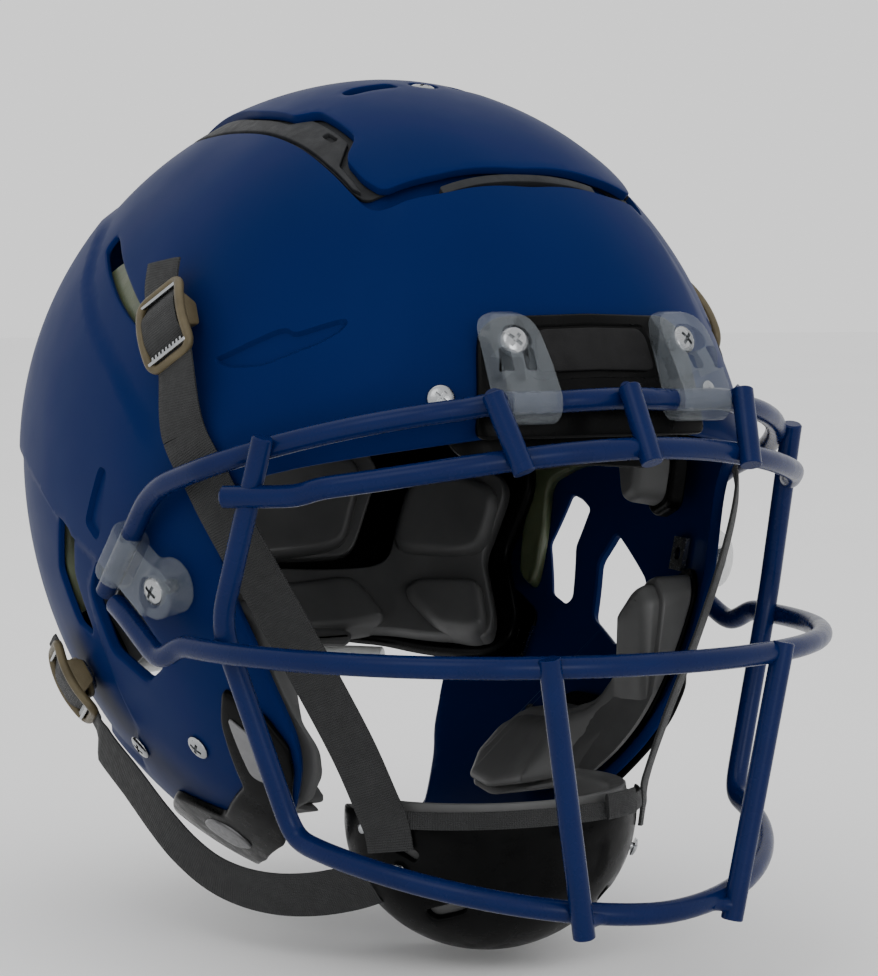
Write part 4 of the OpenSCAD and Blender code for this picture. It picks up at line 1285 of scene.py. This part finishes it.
SIDE_PAD = [(-62, 24), (-52, 66), (18, 74), (34, 20), (20, 4), (-30, 2), (-38, -20), (-46, -26),
            (-62, -20), (-67, 0)]
SIDE_LOBES = [[(-56, 26), (-49, 60), (-20, 63), (-18, 9), (-34, 7), (-42, 12)],
              [(-14, 63), (15, 68), (29, 22), (18, 8), (-14, 8)],
              [(-58, 20), (-44, 8), (-37, 0), (-42, -18), (-47, -22), (-59, -17), (-63, 0)]]
BACK_LOBES_SIDE = [[(68, 14), (72, 38), (98, 45), (102, 13)]]
BACK_LOBES_REAR = [[(6, 46), (40, 45), (50, 40), (60, 11), (6, 10)]]
BACK_RIM = [(96, 44, -16), (90, 53, -43), (86, 38, -66), (82, 36, -75), (76, 44, -79), (64, 76, -79),
            (55, 88, -75), (34, 112, -73.5), (2, 125, -73.5)]
BACK_LOBES = [[(71, 95, -16), (80, 76, -11), (85, 58, -15), (86, 52, -21), (81, 55, -40), (78, 62, -43),
               (66, 93, -44), (65, 97, -38)],
              [(64, 86, -58), (68, 82, -53.5), (77, 58, -52), (78, 52, -54), (74, 41.5, -69),
               (71, 45, -72.5), (66, 64, -72), (63.5, 82, -62)],
              [(5, 132, -49), (46, 116, -45), (52, 112, -41), (60, 112, -14), (57, 117, -6), (5, 142, -4)],
              [(5, 122, -56), (49, 108, -54), (53, 103, -56.5), (57, 88, -69), (53, 88, -71.5),
               (5, 112, -72)]]
BACK_BEDS = [[(4, 137, -52.5), (29, 128, -52.5), (60, 105, -51), (65, 101, -48), (68, 101, -40),
              (71, 102, -30), (78, 94, -13), (85, 77, -9), (90, 58, -11), (91, 52, -18), (84, 59, -45),
              (80, 44, -67), (76, 41.5, -74.5), (73, 54, -75), (60, 85, -75), (52, 92, -73), (5, 122, -73)],
             [(4, 140, -49), (53, 115.5, -47.5), (57, 113.5, -43), (67, 111.5, -12), (63, 117, -3),
              (4, 145, 0)]]
FRONT_PAD = [(0, 58), (40, 56), (56, 44), (52, 12), (36, 3.4), (0, 6)]
CROWN_PAD = [(0, -78), (32, -70), (48, -30), (50, 30), (34, 74), (0, 84)]
CROWN_LOBES = [[(0, -74), (30, -66), (40, -42), (0, -42)], [(0, 12), (46, 12), (46, 30), (33, 44), (0, 44)],
               [(0, 48), (38, 48), (31, 70), (0, 80)]]
NAPE_PAD = [(0, -75.7), (40, -75.7), (46.5, -78), (42.6, -83.8), (0, -83.4)]


def build_pads():
    rim = np.vstack([rear([(2, 52), (50, 52)]), side([(100, 52), (60, 42)]), BACK_RIM])
    back_lobes = [lifted(q, side) for q in BACK_LOBES_SIDE] + [lifted(q, rear) for q in BACK_LOBES_REAR]
    back_lobes += [rounded(q, 6, 2.4) for q in BACK_LOBES]
    lobed_pad("back_cushion_left", rounded(rim, 6, 2.4), back_lobes, True,
              [rounded(q, 5, 2.4) for q in BACK_BEDS])
    lobed_pad("side_cushion_left", lifted(SIDE_PAD, side, 4), [lifted(q, side, 5) for q in SIDE_LOBES],
              True)
    lobes = [lifted(whole([(0, 54), (20, 53), (20, 8), (0, 9)]), end)]
    lobes += on_both_sides([lifted([(24, 53), (38, 52), (52, 42), (48.5, 14), (35, 7), (24, 8)], end)])
    lobed_pad("front_cushion", lifted(whole(FRONT_PAD), end), lobes)
    lobes = [lifted(whole(q), top) for q in CROWN_LOBES]
    lobes += on_both_sides([lifted([(12, -37), (43, -37), (45.5, -28), (46.5, 7), (12, 7)], top)])
    lobed_pad("crown_cushion", lifted(whole(CROWN_PAD), top), lobes)
    nape = block("nape_cushion", rounded(whole(NAPE_PAD), 3, 2), -28, -6.2, 2.4,
                 lambda q, h: end(q * [-1, 1], h, True))
    finish_as(nape, "shell", "pad_grey", "nape_pad")


SHOCK_SIDE = [(-64, 24), (-54, 70), (22, 78), (60, 60), (66, 10), (58, -56), (46, -62), (48, -16),
              (30, -8), (-34, 0)]
SHOCK_FRONT = [(0, 62), (44, 60), (66, 46), (74, 14), (0, 18)]
TUBE_Z = -87.8
REAR_BAND = [[(0, -41), (30, -42), (60, -44)], [(92, -50), (58, -62), (42, -70), (41, -94), (58, -94)],
             [(70, -77), (30, -77.5), (0, -77.5)]]


def dimples(spacing, deep):
    """Rows of shallow rounded cells, as on a moulded shock layer."""
    def relief(dirs):
        spots = egg.at(dirs)
        u, v = spots[:, 1] / spacing, spots[:, 2] / spacing
        return deep * (0.5 - 0.5 * np.abs(np.sin(math.pi * u) * np.sin(math.pi * v)) ** 0.5)
    return relief


def build_liner():
    layer = laid_on(egg, "tpu_layer_left", [egg.loop(lifted(SHOCK_SIDE, side))],
                    pad_rings(-4.5, -10.9, 2), 3.2, dimples(17, 2.4))
    other = mirror_copy(layer, "tpu_layer_right")
    finish_both(layer, other, "shell", "olive_tpu", "shock_layer_{}")
    front = laid_on(egg, "tpu_layer_front", [egg.loop(lifted(whole(SHOCK_FRONT), end))],
                    pad_rings(-4.6, -10.9, 2), 3.6, dimples(17, 2.4))
    finish_as(front, "shell", "olive_tpu", "shock_layer_front")
    band = plate("rear_strip", rounded(whole(np.vstack([turn(points) for turn, points
                                                        in zip((rear, side, rear), REAR_BAND)])), 5, 3),
                 -5.9, -4.4, 0.5, spacing=5)
    finish_as(band, "shell", "black_trim", "rear_band")
    a = np.radians(180 - np.linspace(0, 32, 30))
    way = np.stack([np.sin(a), -np.cos(a), np.zeros(30)], 1)
    flat = egg_level(way, -14.0)
    ring = way * (belt(np.full(30, TUBE_Z), -14) / flat)[:, None] + [0, 0, TUBE_Z]
    finish_as(tube("inflation_tube", both_ways(ring), 3.3, 20), "shell", "white_tube", "air_tube")
    bumper = plate("rear_trim", rear(rounded(whole([(0, -68), (70, -66), (72, -77.6), (0, -79)]), 3, 2.4)),
                   0.2, 2.4, 0.9, spacing=3)
    finish_as(bumper, "shell", "black_trim", "rear_bumper")


def build_all():
    build_shell()
    build_crown()
    build_brow()
    build_side_clips()
    build_mask()
    build_jaw_guards()
    build_studs()
    build_buckles()
    build_straps()
    build_cup()
    build_jaw_pads()
    build_pads()
    build_liner()


# ---------------------------------------------------------------- materials
def material(slot_name, colour, rough, metal=0.0, specular=0.5, tint=0.18, patches=30.0, grain=900.0,
             bump=0.05, rough_spread=0.08, scratches=0.0, alpha=1.0, thin=0.0):
    """A surface with colour patches, an uneven gloss and a fine grain, all in the model's own scale."""
    mat = bpy.data.materials.new(slot_name)
    mat.use_nodes = True
    nodes, links = mat.node_tree.nodes, mat.node_tree.links
    shader = nodes["Principled BSDF"]
    coords = nodes.new("ShaderNodeTexCoord")

    def noise(scale, detail, source=None):
        node = nodes.new("ShaderNodeTexNoise")
        node.inputs["Scale"].default_value = scale
        node.inputs["Detail"].default_value = detail
        links.new(source or coords.outputs["Object"], node.inputs["Vector"])
        return node.outputs["Fac"]

    def span(value, low, high):
        node = nodes.new("ShaderNodeMapRange")
        for socket, number in (("From Min", 0.3), ("From Max", 0.7), ("To Min", low), ("To Max", high)):
            node.inputs[socket].default_value = number
        links.new(value, node.inputs["Value"])
        return node.outputs["Result"]
    mix = nodes.new("ShaderNodeMix")
    mix.data_type = "RGBA"
    mix.inputs["A"].default_value = (*(c * (1 - tint) for c in colour), 1)
    mix.inputs["B"].default_value = (*(min(1, c * (1 + tint) + 0.004 * tint) for c in colour), 1)
    links.new(span(noise(patches, 4), 0, 1), mix.inputs["Factor"])
    links.new(mix.outputs["Result"], shader.inputs["Base Color"])
    links.new(span(noise(patches * 3.1, 5), rough - rough_spread, rough + rough_spread),
              shader.inputs["Roughness"])
    height = noise(grain, 3)
    if scratches:
        stretch = nodes.new("ShaderNodeMapping")
        stretch.inputs["Scale"].default_value = (60, 900, 500)
        links.new(coords.outputs["Object"], stretch.inputs["Vector"])
        add = nodes.new("ShaderNodeMath")
        add.operation = "MULTIPLY_ADD"
        add.inputs[1].default_value = scratches
        links.new(noise(1.0, 2, stretch.outputs["Vector"]), add.inputs[0])
        links.new(height, add.inputs[2])
        height = add.outputs["Value"]
    relief = nodes.new("ShaderNodeBump")
    relief.inputs["Strength"].default_value = bump
    relief.inputs["Distance"].default_value = 0.001
    links.new(height, relief.inputs["Height"])
    links.new(relief.outputs["Normal"], shader.inputs["Normal"])
    for socket, number in (("Metallic", metal), ("Specular IOR Level", specular), ("Alpha", alpha),
                           ("Subsurface Weight", thin), ("Subsurface Scale", 0.003)):
        shader.inputs[socket].default_value = number
    return mat


def woven(slot_name, colour):
    """Narrow webbing: fine wavy ribs across the strap over a small weave."""
    mat = material(slot_name, colour, 0.62, specular=0.3, tint=0.12, patches=120, grain=1600, bump=0.2)
    nodes, links = mat.node_tree.nodes, mat.node_tree.links
    relief = next(n for n in nodes if n.type == "BUMP")
    uv = nodes.new("ShaderNodeTexCoord")
    heights = []
    for scale, turn, bend in (((4, 6.4, 1), "Y", 1.3), ((9, 24, 1), "X", 0.8)):
        mapping = nodes.new("ShaderNodeMapping")
        mapping.inputs["Scale"].default_value = scale
        links.new(uv.outputs["UV"], mapping.inputs["Vector"])
        wave = nodes.new("ShaderNodeTexWave")
        wave.bands_direction = turn
        for socket, number in (("Scale", 0.55), ("Distortion", bend), ("Detail", 1.0),
                               ("Detail Scale", 0.8)):
            wave.inputs[socket].default_value = number
        links.new(mapping.outputs["Vector"], wave.inputs["Vector"])
        heights.append(wave.outputs["Fac"])
    both = nodes.new("ShaderNodeMath")
    for k, height in enumerate(heights):
        links.new(height, both.inputs[k])
    links.new(both.outputs["Value"], relief.inputs["Height"])
    mix = next(n for n in nodes if n.type == "MIX")
    shade_in = nodes.new("ShaderNodeMix")
    shade_in.data_type = "RGBA"
    shade_in.inputs["B"].default_value = (*(c * 0.45 for c in colour), 1)
    ribs = nodes.new("ShaderNodeMapRange")
    ribs.inputs["To Min"].default_value = 0.4
    ribs.inputs["To Max"].default_value = 0.0
    links.new(heights[0], ribs.inputs["Value"])
    links.new(ribs.outputs["Result"], shade_in.inputs["Factor"])
    links.new(mix.outputs["Result"], shade_in.inputs["A"])
    links.new(shade_in.outputs["Result"], nodes["Principled BSDF"].inputs["Base Color"])
    relief.inputs["Strength"].default_value = 0.55
    relief.inputs["Distance"].default_value = 0.0005
    return mat


def build_materials():
    return {
        "shell_blue": material("satin_royal_blue", (0.0009, 0.0098, 0.066), 0.42, specular=0.03,
                               tint=0.05, patches=14, grain=1300, bump=0.012, rough_spread=0.03),
        "mask_blue": material("dipped_royal_blue", (0.0011, 0.0080, 0.055), 0.27, specular=0.13, tint=0.07,
                              patches=60, grain=1100, bump=0.004, rough_spread=0.04),
        "black_trim": material("moulded_black", (0.0018, 0.0019, 0.002), 0.3, specular=0.06, tint=0.3,
                               patches=50, grain=1500, bump=0.05),
        "black_rubber": material("soft_black_rubber", (0.0085, 0.0085, 0.009), 0.62, specular=0.12,
                                 tint=0.25, patches=90, grain=1900, bump=0.14),
        "gasket_grey": material("grey_foam_gasket", (0.020, 0.021, 0.023), 0.6, specular=0.15, tint=0.2,
                                patches=90, grain=2100, bump=0.12),
        "pad_grey": material("charcoal_vinyl", (0.085, 0.086, 0.086), 0.44, specular=0.35, tint=0.12,
                             patches=45, grain=2300, bump=0.1),
        "webbing_grey": woven("grey_webbing", (0.022, 0.0227, 0.0233)),
        "badge_grey": material("brushed_badge", (0.16, 0.16, 0.165), 0.36, metal=0.35, tint=0.06,
                               patches=200, grain=2400, bump=0.04, scratches=0.8),
        "clear_clip": material("clear_polycarbonate", (0.19, 0.215, 0.24), 0.10, specular=0.8, tint=0.05,
                               patches=80, grain=500, bump=0.02, rough_spread=0.04, alpha=0.26),
        "chrome_steel": material("plated_steel", (0.36, 0.37, 0.38), 0.22, metal=1.0, tint=0.06,
                                 patches=300, grain=1500, bump=0.03, scratches=1.2),
        "buckle_tan": material("khaki_coated_steel", (0.085, 0.068, 0.036), 0.42, metal=0.15, specular=0.3,
                               tint=0.2, patches=160, grain=2600, bump=0.14),
        "olive_tpu": material("olive_polymer", (0.062, 0.076, 0.040), 0.38, specular=0.3, tint=0.2,
                              patches=60, grain=900, bump=0.08, thin=0.15),
        "white_tube": material("white_tube", (0.62, 0.63, 0.62), 0.34, tint=0.05, patches=90,
                               grain=1200, bump=0.05),
        "floor": material("pale_floor", (0.93, 0.93, 0.93), 0.8, specular=0.05, tint=0.01, patches=2,
                          grain=60, bump=0.0),
    }


def dress(materials):
    """Gives every piece and every CAD node that still shows the finish of its slot."""
    slots = {part["node"]: part["material_slot"] for part in frame["record"]["subparts"]}
    for name, obj in frame["nodes"].items():
        obj.data.materials.clear()
        obj.data.materials.append(materials[slots[name]])
    known = set(frame["nodes"].values())
    for obj in list(bpy.context.scene.objects):
        if obj.type == "MESH" and obj not in known:
            obj.data.materials.clear()
            obj.data.materials.append(materials[finish_of[obj.name]])


# ---------------------------------------------------------------- studio
# Each area light: its place and what it faces, in metres, then its size and its power
LIGHTS = {"key": ((-1.9, -1.5, 2.2), (0, 0, 0.02), 1.6, 14),
          "fill": ((-0.4, -3.0, 0.5), (0, 0, -0.02), 1.2, 16),
          "crown": ((-0.3, 0.5, 2.6), (0, 0, 0.05), 1.5, 5)}
SKY_STRENGTH = 1.15
FLOOR_HALF = 9
FLOOR_GAP = 0.004
# The fitted camera, in metres and millimetres of lens
CAMERA_PLACE = (-0.62646, -1.04195, 0.07289)
CAMERA_AHEAD = (0.53144, 0.84433, -0.06836)
CAMERA_RIGHT = (0.84653, -0.5323, 0.0065)
CAMERA_LENS = {"lens": 118.6, "sensor_width": 36, "shift_x": -0.0056, "shift_y": -0.0005, "clip_end": 50}


def area_light(name, place, aim, size, power):
    data = bpy.data.lights.new(name, "AREA")
    data.size = size
    data.energy = power
    obj = bpy.data.objects.new(name, data)
    bpy.context.scene.collection.objects.link(obj)
    obj.location = place
    obj.rotation_euler = (Vector(aim) - Vector(place)).to_track_quat("-Z", "Y").to_euler()


def build_studio(materials):
    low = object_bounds()[0][2] - FLOOR_GAP
    corners = [(x * FLOOR_HALF, y * FLOOR_HALF, low) for x, y in ((-1, -1), (1, -1), (1, 1), (-1, 1))]
    floor = bpy.data.objects.new("floor", bpy.data.meshes.new("floor"))
    floor.data.from_pydata(corners, [], [(0, 1, 2, 3)])
    bpy.context.scene.collection.objects.link(floor)
    floor.data.materials.append(materials["floor"])
    floor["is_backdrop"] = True
    world = bpy.data.worlds.new("studio")
    bpy.context.scene.world = world
    world.use_nodes = True
    sky = world.node_tree.nodes["Background"].inputs
    sky["Color"].default_value = (1, 1, 1, 1)
    sky["Strength"].default_value = SKY_STRENGTH
    for name, light in LIGHTS.items():
        area_light(name, *light)
    cam = bpy.data.objects.new("camera", bpy.data.cameras.new("camera"))
    bpy.context.scene.collection.objects.link(cam)
    bpy.context.scene.camera = cam
    ahead, right = Vector(CAMERA_AHEAD), Vector(CAMERA_RIGHT)
    cam.matrix_world = Matrix((right, right.cross(ahead), -ahead)).transposed().to_4x4()
    cam.location = CAMERA_PLACE
    for setting, value in CAMERA_LENS.items():
        setattr(cam.data, setting, value)


build_all()
finishes = build_materials()
dress(finishes)
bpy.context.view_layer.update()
build_studio(finishes)
